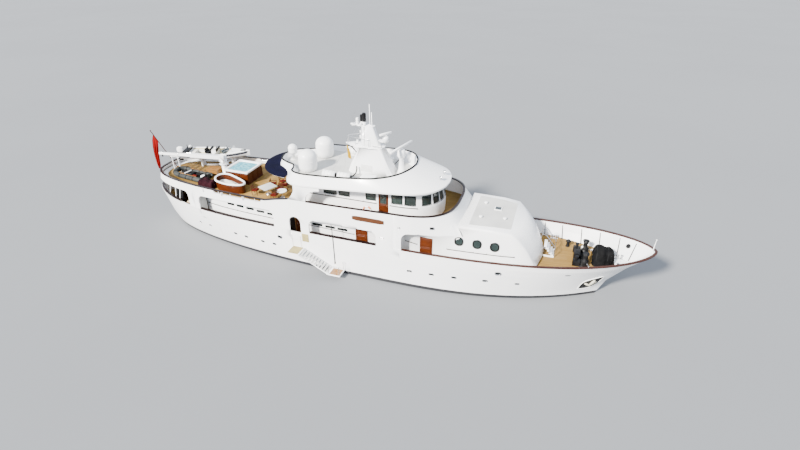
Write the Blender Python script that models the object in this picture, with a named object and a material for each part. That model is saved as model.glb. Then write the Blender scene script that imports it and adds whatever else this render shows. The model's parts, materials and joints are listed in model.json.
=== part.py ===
"""Motor yacht afloat, as a scale model at 1:2.

Every size and place below is a full-size one, in metres, in the yacht's own frame: x forward from
amidships, y to port, z up from the waterline. Each mesh is multiplied by SCALE when it is made.
"""

import math

import bmesh
import bpy
from mathutils import Matrix, Vector

# Scale of the model and the clearance between pieces that touch
SCALE = 0.5
GAP = 0.0008
SEAT_GAP = 0.0021

# Hull
HALF_BEAM = 4.03
SHEER_MID = 3.38
SHEER_BOW = 4.60
SHEER_STERN = 3.62
BOW_X = 22.0
STERN_X = -22.5
AFT_FROM = -2.0
FORE_FROM = 1.5
DECK_SHARE = 0.71
TEAK = 0.05
STATIONS = 44
KEEL_BOTTOM = -2.85
KEEL_HALF = 0.09

# Plating and decks above the hull
PLATE = 0.12
HOUSE_HALF = 3.05
BRIDGE_UNDER = 5.0
BRIDGE_DECK = 5.25
BULWARK_AFT = 5.70
BULWARK_MID = 6.2
BULWARK_FRONT = 6.55
PORTUGUESE_X = 7.4
TUMBLEHOME = 0.06
SHELL_STERN = -21.25
TOP_UNDER = 7.45
TOP_RISE = 0.30
TOP_FLOOR = 7.9
COAMING_AFT = 8.3
COAMING_FRONT = 8.95
CAP_WIDTH = 0.19
CAP_HEIGHT = 0.07

# Running gear
SCREW_Y = 1.6
SCREW_X = -15.4
SCREW_Z = -1.95
SCREW_RADIUS = 0.66
RUDDER_X = -16.9
SHAFT_RADIUS = 0.09

# Hull lines. Level is metres below the waterline, or above it the share of the height of the sheer.
HULL_LEVELS = [
    # level, aft end x, fore end x, beam share, fore power, fore root, aft power, aft root
    (-2.60, -11.0, 13.0, 0.10, 2.0, 1.0, 1.6, 1.0),
    (-2.35, -13.2, 14.8, 0.52, 2.0, 1.0, 1.3, 1.1),
    (-1.90, -15.6, 16.3, 0.80, 2.1, 1.0, 1.3, 1.2),
    (-1.20, -18.2, 17.6, 0.94, 2.3, 1.0, 1.45, 1.4),
    (-0.50, -20.4, 18.3, 0.985, 2.5, 1.0, 1.62, 1.7),
    (0.00, -21.1, 18.6, 1.00, 2.65, 1.0, 1.8, 2.0),
    (0.06, -21.2, 18.68, 1.00, 2.70, 1.02, 1.9, 2.0),
    (0.33, -21.75, 19.2, 1.00, 2.95, 1.15, 2.5, 1.9),
    (0.71, -22.2, 20.6, 1.00, 3.35, 1.38, 3.3, 1.75),
    (1.00, STERN_X, 22.0, 1.00, 3.80, 1.60, 4.2, 1.64),
]


# Scene helpers


def clear_scene():
    for obj in list(bpy.data.objects):
        bpy.data.objects.remove(obj, do_unlink=True)


def material(name, colour, roughness, metallic=0.0):
    made = bpy.data.materials.get(name)
    if made is None:
        made = bpy.data.materials.new(name)
        made.use_nodes = True
        shader = made.node_tree.nodes["Principled BSDF"]
        shader.inputs["Base Color"].default_value = (*colour, 1.0)
        shader.inputs["Roughness"].default_value = roughness
        shader.inputs["Metallic"].default_value = metallic
    return made


WHITE = ("white_gelcoat", (0.86, 0.86, 0.85), 0.3)
BOTTOM = ("antifouling", (0.02, 0.02, 0.025), 0.6)
TEAK_DECK = ("teak_deck", (0.52, 0.36, 0.19), 0.7)
VARNISH = ("varnished_mahogany", (0.24, 0.07, 0.03), 0.25)
GREY = ("grey_deck", (0.72, 0.72, 0.70), 0.7)
BRONZE = ("bronze", (0.55, 0.38, 0.18), 0.35, 1.0)
STEEL = ("stainless", (0.75, 0.75, 0.76), 0.2, 1.0)
BLACK = ("black_rubber", (0.02, 0.02, 0.02), 0.6)
TUBE_GREY = ("inflatable_grey", (0.08, 0.085, 0.08), 0.55)
CREAM = ("tender_cream", (0.78, 0.74, 0.62), 0.5)
NAVY = ("navy_canvas", (0.015, 0.015, 0.06), 0.85)
MAROON = ("maroon_cover", (0.09, 0.02, 0.03), 0.8)
RED = ("flag_red", (0.65, 0.03, 0.03), 0.8)
YELLOW = ("flag_yellow", (0.75, 0.6, 0.08), 0.8)
CUSHION = ("cushion_beige", (0.66, 0.58, 0.44), 0.85)


def add(name, mesh, finish, pivot=(0.0, 0.0, 0.0), smooth=35.0):
    """A bmesh in full-size metres made an object, its origin at the pivot and its size the model's."""
    bmesh.ops.remove_doubles(mesh, verts=mesh.verts, dist=1e-5)
    bmesh.ops.recalc_face_normals(mesh, faces=mesh.faces)
    if mesh.calc_volume(signed=True) < 0:
        bmesh.ops.reverse_faces(mesh, faces=mesh.faces)
    shift = Matrix.Translation(-Vector(pivot))
    mesh.transform(Matrix.Scale(SCALE, 4) @ shift)
    data = bpy.data.meshes.new(name)
    mesh.to_mesh(data)
    mesh.free()
    data.materials.append(material(*finish))
    data.shade_smooth()
    data.set_sharp_from_angle(angle=math.radians(smooth))
    obj = bpy.data.objects.new(name, data)
    obj.location = Vector(pivot) * SCALE
    bpy.context.scene.collection.objects.link(obj)
    return obj


def helper(obj):
    obj.hide_render = True
    obj.display_type = "WIRE"
    return obj


def boolean(target, operation, *others):
    for other in others:
        step = target.modifiers.new(operation.title(), "BOOLEAN")
        step.operation = operation
        step.solver = "EXACT"
        step.object = helper(other)
    return target


def swollen(obj, amount):
    """A cutter: the same mesh with its surface moved outwards, so that what it cuts keeps a gap."""
    mesh = bmesh.new()
    mesh.from_mesh(obj.data)
    mesh.normal_update()
    for vert in mesh.verts:
        vert.co += vert.normal * amount * SCALE
    data = bpy.data.meshes.new(obj.name + "_clear")
    mesh.to_mesh(data)
    mesh.free()
    copy = bpy.data.objects.new(obj.name + "_clear", data)
    copy.location = obj.location
    bpy.context.scene.collection.objects.link(copy)
    return helper(copy)


# Mesh helpers


def grid(mesh, rows, closed_rows=False, closed_columns=False):
    """Quads between rows of equally many points."""
    verts = [[mesh.verts.new(point) for point in row] for row in rows]
    row_pairs = list(zip(verts, verts[1:]))
    if closed_rows:
        row_pairs.append((verts[-1], verts[0]))
    for lower, upper in row_pairs:
        count = len(lower)
        steps = count if closed_columns else count - 1
        for i in range(steps):
            j = (i + 1) % count
            mesh.faces.new((lower[i], lower[j], upper[j], upper[i]))
    return verts


def ladder_cap(mesh, ring):
    """Closes a ring that is symmetric about y = 0 with strips from side to side."""
    half = len(ring) // 2
    for i in range(half):
        a, b = ring[i], ring[i + 1]
        c, d = ring[-(i + 1) % len(ring)], ring[-i % len(ring)]
        corners = []
        for vert in (a, b, c, d):
            if vert not in corners:
                corners.append(vert)
        if len(corners) > 2:
            mesh.faces.new(corners)


def mirrored(half):
    """The whole ring of a half outline that runs from stern to bow along the starboard side."""
    return list(half) + [(x, -y, z) for x, y, z in reversed(half[1:-1])]


def ring_body(rings):
    mesh = bmesh.new()
    verts = grid(mesh, [mirrored(ring) for ring in rings], closed_columns=True)
    ladder_cap(mesh, verts[0])
    ladder_cap(mesh, verts[-1])
    bmesh.ops.triangulate(mesh, faces=mesh.faces)
    return mesh


def ring_wall(outer, inner):
    """A wall that runs all round: outer rings from the bottom up, and as many inner ones."""
    mesh = bmesh.new()
    loop = [mirrored(ring) for ring in outer] + [mirrored(ring) for ring in reversed(inner)]
    grid(mesh, loop, closed_rows=True, closed_columns=True)
    bmesh.ops.triangulate(mesh, faces=mesh.faces)
    return mesh


def box_mesh(*boxes):
    mesh = bmesh.new()
    for x0, x1, y0, y1, z0, z1 in boxes:
        made = bmesh.ops.create_cube(mesh, size=1.0)["verts"]
        for vert in made:
            vert.co.x = x0 if vert.co.x < 0 else x1
            vert.co.y = y0 if vert.co.y < 0 else y1
            vert.co.z = z0 if vert.co.z < 0 else z1
    return mesh


def prism(points, axis, low, high):
    """A polygon of (u, v) pairs pushed along an axis, from low to high."""
    mesh = bmesh.new()
    place = {
        "x": lambda u, v, w: (w, u, v),
        "y": lambda u, v, w: (u, w, v),
        "z": lambda u, v, w: (u, v, w),
    }[axis]
    ends = [[mesh.verts.new(place(u, v, w)) for u, v in points] for w in (low, high)]
    count = len(points)
    for i in range(count):
        j = (i + 1) % count
        mesh.faces.new((ends[0][i], ends[0][j], ends[1][j], ends[1][i]))
    for end in ends:
        mesh.faces.new(end)
    return mesh


def turned(profile, segments=20, at=(0.0, 0.0, 0.0), axis="z"):
    """A profile of (radius, height) pairs turned about an axis through a point."""
    mesh = bmesh.new()
    rings = []
    for radius, height in profile:
        ring = []
        for i in range(segments):
            turn = 2 * math.pi * i / segments
            u, v = radius * math.cos(turn), radius * math.sin(turn)
            local = {"x": (height, u, v), "y": (v, height, u), "z": (u, v, height)}[axis]
            ring.append(tuple(Vector(at) + Vector(local)))
        rings.append(ring)
    verts = grid(mesh, rings, closed_columns=True)
    mesh.faces.new(verts[0])
    mesh.faces.new(verts[-1])
    return mesh


def dome(radius, height, shoulder, steps=5):
    """The profile of a round-topped drum that stands on its base."""
    profile = [(radius * 0.93, 0.0), (radius, shoulder * 0.3), (radius, shoulder)]
    for i in range(1, steps + 1):
        turn = math.pi / 2 * i / (steps + 0.35)
        profile.append((radius * math.cos(turn), shoulder + (height - shoulder) * math.sin(turn)))
    return profile


def pipe(points, radius, sides=8):
    """A round bar along a line of points, with flat ends."""
    mesh = bmesh.new()
    path = [Vector(point) for point in points]
    whole = (path[-1] - path[0]).normalized()
    across = Vector((0, 1, 0)) if abs(whole.y) < 0.7 else Vector((1, 0, 0))
    rings = []
    for i, point in enumerate(path):
        before = path[max(i - 1, 0)]
        after = path[min(i + 1, len(path) - 1)]
        along = (after - before).normalized()
        side = along.cross(across).normalized()
        up = side.cross(along).normalized()
        ring = []
        for k in range(sides):
            turn = 2 * math.pi * k / sides
            ring.append(tuple(point + (side * math.cos(turn) + up * math.sin(turn)) * radius))
        rings.append(ring)
    verts = grid(mesh, rings, closed_columns=True)
    mesh.faces.new(verts[0])
    mesh.faces.new(verts[-1])
    return mesh


def smooth_outline(controls, count):
    """A Catmull-Rom curve through the control points, read at equal steps along it."""
    points = [Vector(p) for p in controls]
    ends = [points[0] * 2 - points[1]] + points + [points[-1] * 2 - points[-2]]
    fine = []
    for a, b, c, d in zip(ends, ends[1:], ends[2:], ends[3:]):
        for i in range(12):
            t = i / 12
            fine.append(0.5 * (2 * b + (c - a) * t + (2 * a - 5 * b + 4 * c - d) * t * t
                               + (3 * b - a - 3 * c + d) * t ** 3))
    fine.append(points[-1])
    reach = [0.0]
    for a, b in zip(fine, fine[1:]):
        reach.append(reach[-1] + (b - a).length)
    read = []
    k = 0
    for i in range(count):
        wanted = reach[-1] * i / (count - 1)
        while k < len(reach) - 2 and reach[k + 1] < wanted:
            k += 1
        part = (wanted - reach[k]) / max(reach[k + 1] - reach[k], 1e-9)
        read.append(fine[k].lerp(fine[k + 1], part))
    return read


def inset_half(half, amount):
    """A half outline moved inwards in plan; its two ends stay on the centreline."""
    moved = []
    last = len(half) - 1
    for i, (x, y, z) in enumerate(half):
        before = half[max(i - 1, 0)]
        after = half[min(i + 1, last)]
        if i in (0, last):
            moved.append((x + (amount if i == 0 else -amount), 0.0, z))
            continue
        along = Vector((after[0] - before[0], after[1] - before[1]))
        along.normalize()
        moved.append((x - along.y * amount, min(y + along.x * amount, -1e-3), z))
    return moved


# Hull lines


def sheer(x):
    """Height of the top of the bulwark."""
    if x > 2.0:
        return SHEER_MID + (SHEER_BOW - SHEER_MID) * ((x - 2.0) / (BOW_X - 2.0)) ** 2
    if x < -2.0:
        return SHEER_MID + (SHEER_STERN - SHEER_MID) * ((-2.0 - x) / (-2.0 - STERN_X)) ** 2
    return SHEER_MID


def level_values(level):
    for low, high in zip(HULL_LEVELS, HULL_LEVELS[1:]):
        if level <= high[0] or high is HULL_LEVELS[-1]:
            t = (level - low[0]) / (high[0] - low[0])
            return [a + (b - a) * t for a, b in zip(low, high)]
    return list(HULL_LEVELS[0])


def hull_half(level, inset=0.0, lift=0.0):
    """The starboard half of the hull's outline at one level, from stern to bow."""
    _, aft, fore, share, fore_power, fore_root, aft_power, aft_root = level_values(level)
    half = []
    for i in range(STATIONS + 1):
        turn = math.pi * i / STATIONS
        x = (aft + fore) / 2 - (fore - aft) / 2 * math.cos(turn)
        if x > AFT_FROM:
            reach = min(max(x - FORE_FROM, 0.0) / (fore - FORE_FROM), 1.0)
            y = (1 - reach ** fore_power) ** (1 / fore_root)
        else:
            reach = min((AFT_FROM - x) / (AFT_FROM - aft), 1.0)
            y = (1 - reach ** aft_power) ** (1 / aft_root)
        z = level if level <= 0 else level * sheer(x)
        half.append((x, -HALF_BEAM * share * y if 0 < i < STATIONS else 0.0, z + lift))
    return inset_half(half, inset) if inset else half


def deck_height(x):
    return DECK_SHARE * sheer(x)


def side_breadth(x):
    """Half breadth of the hull at the sheer."""
    half = hull_half(1.0)
    for (x0, y0, _), (x1, y1, _) in zip(half, half[1:]):
        if x0 <= x <= x1:
            return -(y0 + (y1 - y0) * (x - x0) / (x1 - x0))
    return 0.0


# Hull pieces


def make_hull():
    levels = [row[0] for row in HULL_LEVELS if row[0] < DECK_SHARE]
    rings = [hull_half(level) for level in levels] + [hull_half(DECK_SHARE)]
    hull = add("hull", ring_body(rings), WHITE)
    tubes = []
    for side, y in (("stbd", -SCREW_Y), ("port", SCREW_Y)):
        tube = turned([(0.16, -0.86), (0.16, 0.2)], 12, (RUDDER_X, y, 0.0))
        tubes.append(add("rudder_tube_" + side, tube, BOTTOM))
    return boolean(hull, "UNION", *tubes)


def make_deck():
    low = hull_half(DECK_SHARE, PLATE + GAP, GAP)
    high = hull_half(DECK_SHARE, PLATE + GAP, TEAK)
    return add("main_deck", ring_body([low, high]), TEAK_DECK)


def skin(x, z):
    """Half breadth of the hull at a place above the waterline."""
    half = hull_half(min(1.0, z / sheer(x)))
    for (x0, y0, _), (x1, y1, _) in zip(half, half[1:]):
        if x0 <= x <= x1:
            return -(y0 + (y1 - y0) * (x - x0) / (x1 - x0))
    return 0.0


BULWARK_PARTS = [
    # name, box that is kept: aft x, fore x, low y, high y
    ("bulwark_stern", -24.0, -15.4, -6.0, 6.0),
    ("bulwark_stbd", -15.4, 3.6, -6.0, 0.0),
    ("bulwark_port", -15.4, 3.6, 0.0, 6.0),
    ("bulwark_bow", 3.6, 24.0, -6.0, 6.0),
]


def kept_part(part, aft, fore, low, high):
    """Cuts a wall down to what lies in one box in plan, less the gap at its joints."""
    keep = box_mesh((aft + GAP / 2, fore - GAP / 2, low, high, 1.0, 9.0))
    return boolean(part, "INTERSECT", add(part.name + "_keep", keep, WHITE))


def make_bulwark():
    levels = (DECK_SHARE, 0.86, 1.0)
    outer = [hull_half(level, 0.0, GAP if level == DECK_SHARE else 0.0) for level in levels]
    inner = [hull_half(level, PLATE, GAP if level == DECK_SHARE else 0.0) for level in levels]
    gate = box_mesh((GATE_AFT, GATE_FORE, -4.6, 4.6, deck_height(-5.5) + TEAK, 4.0))
    cutter = add("gate_cut", gate, WHITE)
    for name, aft, fore, low, high in BULWARK_PARTS:
        part = add(name, ring_wall(outer, inner), WHITE)
        boolean(kept_part(part, aft, fore, low, high), "DIFFERENCE", cutter)


def make_cap_rail():
    """The varnished rail on the bulwark, from the forward house round the bow."""
    outer = hull_half(1.0, -0.07, SEAT_GAP)
    inner = hull_half(1.0, CAP_WIDTH - 0.07, SEAT_GAP)
    outer_top = [(x, y, z + CAP_HEIGHT) for x, y, z in outer]
    inner_top = [(x, y, z + CAP_HEIGHT) for x, y, z in inner]
    rail = add("cap_rail_bow", ring_wall([outer, outer_top], [inner, inner_top]), VARNISH)
    aft = box_mesh((-24.0, CAP_START, -6.0, 6.0, 2.0, 6.0))
    return boolean(rail, "DIFFERENCE", add("cap_rail_cut", aft, WHITE))


GATE_AFT = -6.1
GATE_FORE = -5.05
CAP_START = 3.7


def bulwark_top(x):
    """Height of the upper bulwark's edge, from the stern to the front of the bridge deck."""
    if x < -8.5:
        return BULWARK_AFT
    if x < -6.0:
        t = (x + 8.5) / 2.5
        return BULWARK_AFT + (BULWARK_MID - BULWARK_AFT) * t * t * (3 - 2 * t)
    return BULWARK_MID + (BULWARK_FRONT - BULWARK_MID) * max(0.0, (x + 6.0) / 13.4) ** 1.5


SHELL_AFT = 30
SHELL_FORE = 22
FORE_FOOT = [
    (2.5, 4.03), (3.5, 3.996), (4.5, 3.91), (5.5, 3.78), (6.5, 3.58), (7.2, 3.36), (7.7, 3.16), (8.0, 2.98),
    (8.2, 2.65), (8.35, 1.8), (8.4, 0.9), (8.4, 0.0),
]
FORE_TOP = [
    (2.5, 4.03), (3.5, 4.02), (4.5, 3.947), (5.5, 3.722), (6.2, 3.384), (6.8, 2.826), (7.15, 2.185),
    (7.35, 1.318), (PORTUGUESE_X, 0.6), (PORTUGUESE_X, 0.0),
]


def shell_outline(share):
    """Half outline of the upper plating from stern to front, as (x, y), from its foot to its top."""
    stern = STERN_X + (SHELL_STERN - STERN_X) * share
    power = 4.2 - share
    root = 1.64 + 1.56 * share
    beam = HALF_BEAM - TUMBLEHOME * share
    points = []
    for i in range(SHELL_AFT):
        x = stern + (2.5 - stern) * (1 - math.cos(math.pi / 2 * i / SHELL_AFT)) * 1.0
        reach = min(1.0, max(0.0, AFT_FROM - x) / (AFT_FROM - stern))
        points.append((x, beam * (1 - reach ** power) ** (1 / root)))
    foot = smooth_outline([(x, y) for x, y in FORE_FOOT], SHELL_FORE)
    top = smooth_outline([(x, y) for x, y in FORE_TOP], SHELL_FORE)
    for low, high in zip(foot, top):
        at = low.lerp(high, share)
        settled = min(1.0, (at.x - 2.5) / 2.0)
        points.append((at.x, at.y - TUMBLEHOME * share * (1 - settled)))
    return points


def shell_heights(x):
    foot = sheer(x) + SEAT_GAP if x < CAP_START + 0.9 else BRIDGE_UNDER
    return foot, bulwark_top(x)


def shell_half(share, inset=0.0):
    """Starboard half of the upper plating; share runs from 0 at its foot to 1 at its top."""
    half = []
    outline = shell_outline(share)
    last = len(outline) - 1
    for i, (x, y) in enumerate(outline):
        foot, top = shell_heights(x)
        half.append((x, -y if 0 < i < last else 0.0, foot + (top - foot) * share))
    return inset_half(half, inset) if inset else half


def shell_level(z, inset):
    """Starboard half of the upper plating at one height."""
    half = []
    low, high = shell_outline(0.0), shell_outline(1.0)
    last = len(low) - 1
    for i, (a, b) in enumerate(zip(low, high)):
        foot, top = shell_heights(a[0])
        share = min(1.0, max(0.0, (z - foot) / (top - foot)))
        x, y = a[0] + (b[0] - a[0]) * share, a[1] + (b[1] - a[1]) * share
        half.append((x, -y if 0 < i < last else 0.0, z))
    return inset_half(half, inset)


SHELL_PARTS = [
    # name, box that is kept: aft x, fore x, low y, high y
    ("shell_stern", -24.0, -15.9, -6.0, 6.0),
    ("shell_stbd", -15.9, 3.0, -6.0, 0.0),
    ("shell_port", -15.9, 3.0, 0.0, 6.0),
    ("portuguese_bridge", 3.0, 12.0, -6.0, 6.0),
]


OPENINGS = [
    # name, aft x, fore x, bottom z, top z, corner radius
    ("fantail_side", -21.2, -16.65, 3.3, 4.92, 0.4),
    ("side_deck_aft", -15.4, -7.6, 3.3, 4.85, 0.5),
    ("boarding_gate", GATE_AFT, GATE_FORE, 3.3, 4.67, 0.5),
    ("side_deck_mid", -4.3, 1.6, 3.3, 4.6, 0.5),
    ("side_deck_fore", CAP_START - 0.05, 9.0, 3.3, 4.9, 0.6),
]


def round_top(low, high, bottom, top, radius, steps=4):
    """An outline in x and z with its two upper corners rounded."""
    points = [(low, bottom), (high, bottom)]
    for cx, start in ((high - radius, 0.0), (low + radius, 90.0)):
        for i in range(steps + 1):
            turn = math.radians(start + 90 * i / steps)
            points.append((cx + radius * math.cos(turn), top - radius + radius * math.sin(turn)))
    return points


def make_shell():
    shares = (0.0, 0.5, 1.0)
    outer = [shell_half(share) for share in shares]
    inner = [shell_half(share, PLATE) for share in shares]
    cutters = []
    for name, aft, fore, bottom, top, radius in OPENINGS:
        cut = prism(round_top(aft, fore, bottom, top, radius), "y", -6.0, 6.0)
        cutters.append(add(name + "_cut", cut, WHITE))
    stern = prism(round_top(-1.75, 1.75, 3.3, 4.92, 0.4), "x", -24.0, -19.5)
    cutters.append(add("stern_cut", stern, WHITE))
    for sign in (-1, 1):
        low, high = sorted((sign * 3.3, sign * 4.6))
        dip = prism(dip_outline(), "y", low, high)
        cutters.append(add("dip_cut_%d" % (sign + 1), dip, WHITE))
    for name, aft, fore, low, high in SHELL_PARTS:
        part = add(name, ring_wall(outer, inner), WHITE)
        boolean(kept_part(part, aft, fore, low, high), "DIFFERENCE", *cutters)


def dip_outline():
    """The shallow dip in the upper bulwark beside the spa, below the rail that runs straight on."""
    low, high, floor, radius = -13.5, -8.6, 5.43, 0.27
    points = [(high, 6.4), (low, 6.4)]
    for cx, start in ((low + radius, 180.0), (high - radius, 270.0)):
        for i in range(5):
            turn = math.radians(start + 90 * i / 4)
            points.append((cx + radius * math.cos(turn), floor + radius + radius * math.sin(turn)))
    return points


def make_bridge_rails():
    """The varnished rails on the upper bulwark, aft and forward of the side wings."""
    rings = []
    for inset, lift in ((-0.05, GAP), (-0.05, CAP_HEIGHT), (CAP_WIDTH - 0.05, CAP_HEIGHT),
                        (CAP_WIDTH - 0.05, GAP)):
        rings.append([(x, y, z + lift) for x, y, z in shell_half(1.0, inset)])
    for name, low, high in (("bridge_rail_aft", WING_AFT - 0.02, 12.0), ("bridge_rail_fore", -25.0, WING_FORE + 0.02)):
        rail = add(name, ring_wall(rings[:2], [rings[3], rings[2]]), VARNISH)
        boolean(rail, "DIFFERENCE", add(name + "_cut", box_mesh((low, high, -6.0, 6.0, 5.0, 8.0)), WHITE))


WING_AFT = -6.0
WING_FORE = -4.4


# Decks and houses


def make_bridge_deck():
    rings = [shell_level(z, PLATE * 0.5) for z in (BRIDGE_UNDER + GAP, BRIDGE_DECK)]
    return boolean(add("bridge_deck", ring_body(rings), TEAK_DECK), "DIFFERENCE", shell_clear())


CAMBER = 0.02


def house_section(x, base, side, top, radius, bulge=0.0, rake=0.0):
    """Half a cross-section of a house, from the deck at the side up to the centreline.

    The bulge moves its middle forward, and the rake moves its top.
    """
    deck = deck_height(x) + TEAK + SEAT_GAP
    points = [(x, -base, deck), (x, -base, deck + min(1.98, max(top - deck - 0.5, (top - deck) * 0.5)))]
    for i in range(4):
        turn = math.radians(90 * i / 3)
        y = side - radius + radius * math.cos(turn)
        points.append((x + rake, -y, top - CAMBER - radius + radius * math.sin(turn)))
    flat = side - radius
    for share in (0.7, 0.35, 0.0):
        points.append((x + rake + bulge * (1 - share * share), -flat * share, top - CAMBER * share * share))
    return points


def house(name, sections):
    mesh = bmesh.new()
    rows = []
    for section in sections:
        half = house_section(*section)
        middle = half[-1][0] - section_rake(section)
        foot = [(middle, 0.0, deck_height(middle) + TEAK + SEAT_GAP)]
        rows.append(half + [(x, -y, z) for x, y, z in reversed(half[:-1])] + foot)
    verts = grid(mesh, rows, closed_columns=True)
    for ring in (verts[0], verts[-1]):
        mesh.faces.new(ring)
    return add(name, mesh, WHITE)


def section_rake(section):
    return section[6] if len(section) > 6 else 0.0


def make_houses():
    top = BRIDGE_UNDER
    main = [(x, half, half, top, 0.03) for x, half in (
        (-15.4, 2.55), (-13.5, 2.85), (-11.0, 3.0), (-8.0, HOUSE_HALF), (-4.0, HOUSE_HALF), (0.0, HOUSE_HALF),
        (2.0, HOUSE_HALF), (3.6, HOUSE_HALF))]
    house("main_house", main)
    fore = [
        # x, half breadth at the deck, half breadth above, top, shoulder radius, bulge, rake
        (3.62, HOUSE_HALF, 3.95, top, 0.03),
        (4.5, HOUSE_HALF, 3.88, top, 0.03),
        (5.2, HOUSE_HALF, 3.80, top, 0.03),
        (5.9, HOUSE_HALF, 3.69, top, 0.03),
        (6.5, HOUSE_HALF, 3.58, top, 0.03),
        (7.2, HOUSE_HALF, 3.33, top, 0.03),
        (7.8, HOUSE_HALF, 3.12, top, 0.03),
        (8.40, 3.05, 3.06, top, 0.03),
        (8.42, 3.05, 3.05, 5.80, 0.20, 0.0, -0.5),
        (10.5, 3.00, 2.97, 5.82, 0.20),
        (11.75, 2.94, 2.86, 5.72, 0.20, 0.75),
        (12.4, 2.82, 2.72, 5.20, 0.22, 0.75),
        (13.0, 2.68, 2.56, 4.45, 0.22, 0.65),
        (13.55, 2.52, 2.42, 3.45, 0.22, 0.5),
        (13.8, 2.42, 2.36, 2.98, 0.12, 0.4),
    ]
    boolean(house("fore_house", fore), "DIFFERENCE", shell_clear())


WHEELHOUSE = [
    (-7.0, 0.0), (-6.97, -1.0), (-6.8, -1.8), (-6.2, -2.3), (-5.2, -2.42), (-4.0, -2.42), (-1.0, -2.42),
    (2.2, -2.42), (3.8, -2.36), (4.8, -2.05), (5.55, -1.4), (5.95, -0.7), (6.05, 0.0),
]
WINDOW_SILL = 6.45
WINDOW_HEAD = 7.28
SIDE_WINDOWS = [
    # aft x, fore x
    (-3.5, -2.35),
    (-2.15, -1.2),
    (0.2, 1.05),
    (2.35, 3.25),
]
FRONT_WINDOWS = [
    # middle x, middle y, turn in degrees from facing starboard, width
    (3.86, -2.36, 6.0, 0.88),
    (5.06, -1.85, 38.0, 0.76),
    (5.68, -1.18, 57.0, 0.62),
    (5.97, -0.44, 78.0, 0.62),
]


def wheelhouse_half(z, inset=0.0, lean=0.0):
    controls = [Vector((x - lean * max(0.0, x - 2.2) / 3.85, y)) for x, y in WHEELHOUSE]
    half = [(p.x, p.y, z) for p in smooth_outline(controls, 34)]
    half[0] = (half[0][0], 0.0, z)
    half[-1] = (half[-1][0], 0.0, z)
    return inset_half(half, inset) if inset else half


def under_roof(half):
    return [(x, y, top_under(x) - GAP) for x, y, _ in half]


def make_wheelhouse():
    low = BRIDGE_DECK + GAP
    outer = [wheelhouse_half(low), wheelhouse_half(6.3), under_roof(wheelhouse_half(7.4, 0.0, 0.35))]
    inner = [wheelhouse_half(low, PLATE), wheelhouse_half(6.3, PLATE), under_roof(wheelhouse_half(7.4, PLATE, 0.35))]
    walls = add("wheelhouse", ring_wall(outer, inner), WHITE)
    cuts = box_mesh(*[(a, b, -4.0, 4.0, WINDOW_SILL, WINDOW_HEAD) for a, b in SIDE_WINDOWS])
    cutters = [add("side_window_cut", cuts, WHITE)]
    doors = box_mesh((DOOR_AFT, DOOR_FORE, -4.0, 4.0, BRIDGE_DECK + 0.06, 7.26))
    cutters.append(add("door_cut", doors, WHITE))
    for i, (x, y, turn, width) in enumerate(FRONT_WINDOWS):
        for side in (-1, 1):
            slip = 0.0015 * (i + 1)
            pane = box_mesh((-width / 2, width / 2, -0.25, 0.25, WINDOW_SILL + slip, WINDOW_HEAD - slip))
            spin = Matrix.Rotation(math.radians(turn), 4, "Z")
            pane.transform(Matrix.Translation((x, y, 0.0)) @ spin)
            if side == 1:
                pane.transform(Matrix.Scale(-1, 4, (0, 1, 0)))
            cutters.append(add("front_window_cut_%d_%d" % (i, side), pane, WHITE))
    return boolean(walls, "DIFFERENCE", *cutters)


DOOR_AFT = 1.26
DOOR_FORE = 2.1

BROW = [
    (-8.55, 0.0), (-8.15, -1.2), (-7.3, -1.85), (-6.75, -2.4), (-6.45, -3.0), (-6.1, -3.55), (-5.4, -3.92),
    (-4.0, -4.04), (0.0, -3.86), (2.7, -3.48), (4.3, -3.1), (5.5, -2.35), (6.2, -1.25), (6.4, 0.0),
]
COAMING = [
    (-8.3, 0.0), (-7.95, -1.0), (-7.1, -1.55), (-6.4, -1.85), (-6.1, -2.4), (-5.95, -2.9), (-5.3, -3.25),
    (-4.0, -3.33), (0.0, -3.3), (1.6, -3.0), (2.7, -2.3), (3.35, -1.2), (3.6, 0.0),
]


def outline_half(controls, inset, height):
    half = [(p.x, p.y, 0.0) for p in smooth_outline(controls, 40)]
    half[0] = (half[0][0], 0.0, 0.0)
    half[-1] = (half[-1][0], 0.0, 0.0)
    if inset:
        half = inset_half(half, inset)
    return [(x, y, height(x)) for x, y, _ in half]


def top_under(x):
    """Height of the underside of the top deck, which rises towards the wheelhouse front."""
    t = min(1.0, max(0.0, (x + 7.0) / 8.5))
    return TOP_UNDER + TOP_RISE * t * t * (3 - 2 * t)


def coaming_top(x):
    t = min(1.0, max(0.0, (x + 5.0) / 8.4))
    return COAMING_AFT + (COAMING_FRONT - COAMING_AFT) * t ** 1.4


def make_top_deck():
    rings = [
        outline_half(BROW, 0.12, top_under),
        outline_half(BROW, 0.0, lambda x: top_under(x) + 0.06),
        outline_half(BROW, 0.0, lambda x: top_under(x) + 0.18),
        outline_half(COAMING, 0.0, coaming_top),
        outline_half(COAMING, 0.12, coaming_top),
        outline_half(COAMING, 0.14, lambda x: TOP_FLOOR),
    ]
    return add("top_deck", ring_body(rings), WHITE)


def make_wings():
    """The side plates that carry the top deck over the after end of the side decks."""
    for side, sign in (("stbd", -1), ("port", 1)):
        foot = BULWARK_MID - 0.08
        points = [(WING_AFT, foot)]
        points.append((WING_FORE, foot))
        for i in range(6):
            turn = math.radians(180 - 90 * i / 5)
            points.append((WING_FORE + 1.3 + 1.3 * math.cos(turn), 6.35 + 1.0 * math.sin(turn)))
        for i in range(6):
            x = WING_FORE + 1.3 + (WING_AFT + 0.85 - WING_FORE - 1.3) * i / 5
            points.append((x, top_under(x) - GAP - 0.004))
        points.append((WING_AFT + 0.4, 6.65))
        outer = HALF_BEAM - TUMBLEHOME - 0.01
        low, high = sorted((sign * (outer - PLATE), sign * outer))
        plate = add("side_wing_" + side, prism(points, "y", low, high), WHITE)
        boolean(plate, "DIFFERENCE", shell_clear())


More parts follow.
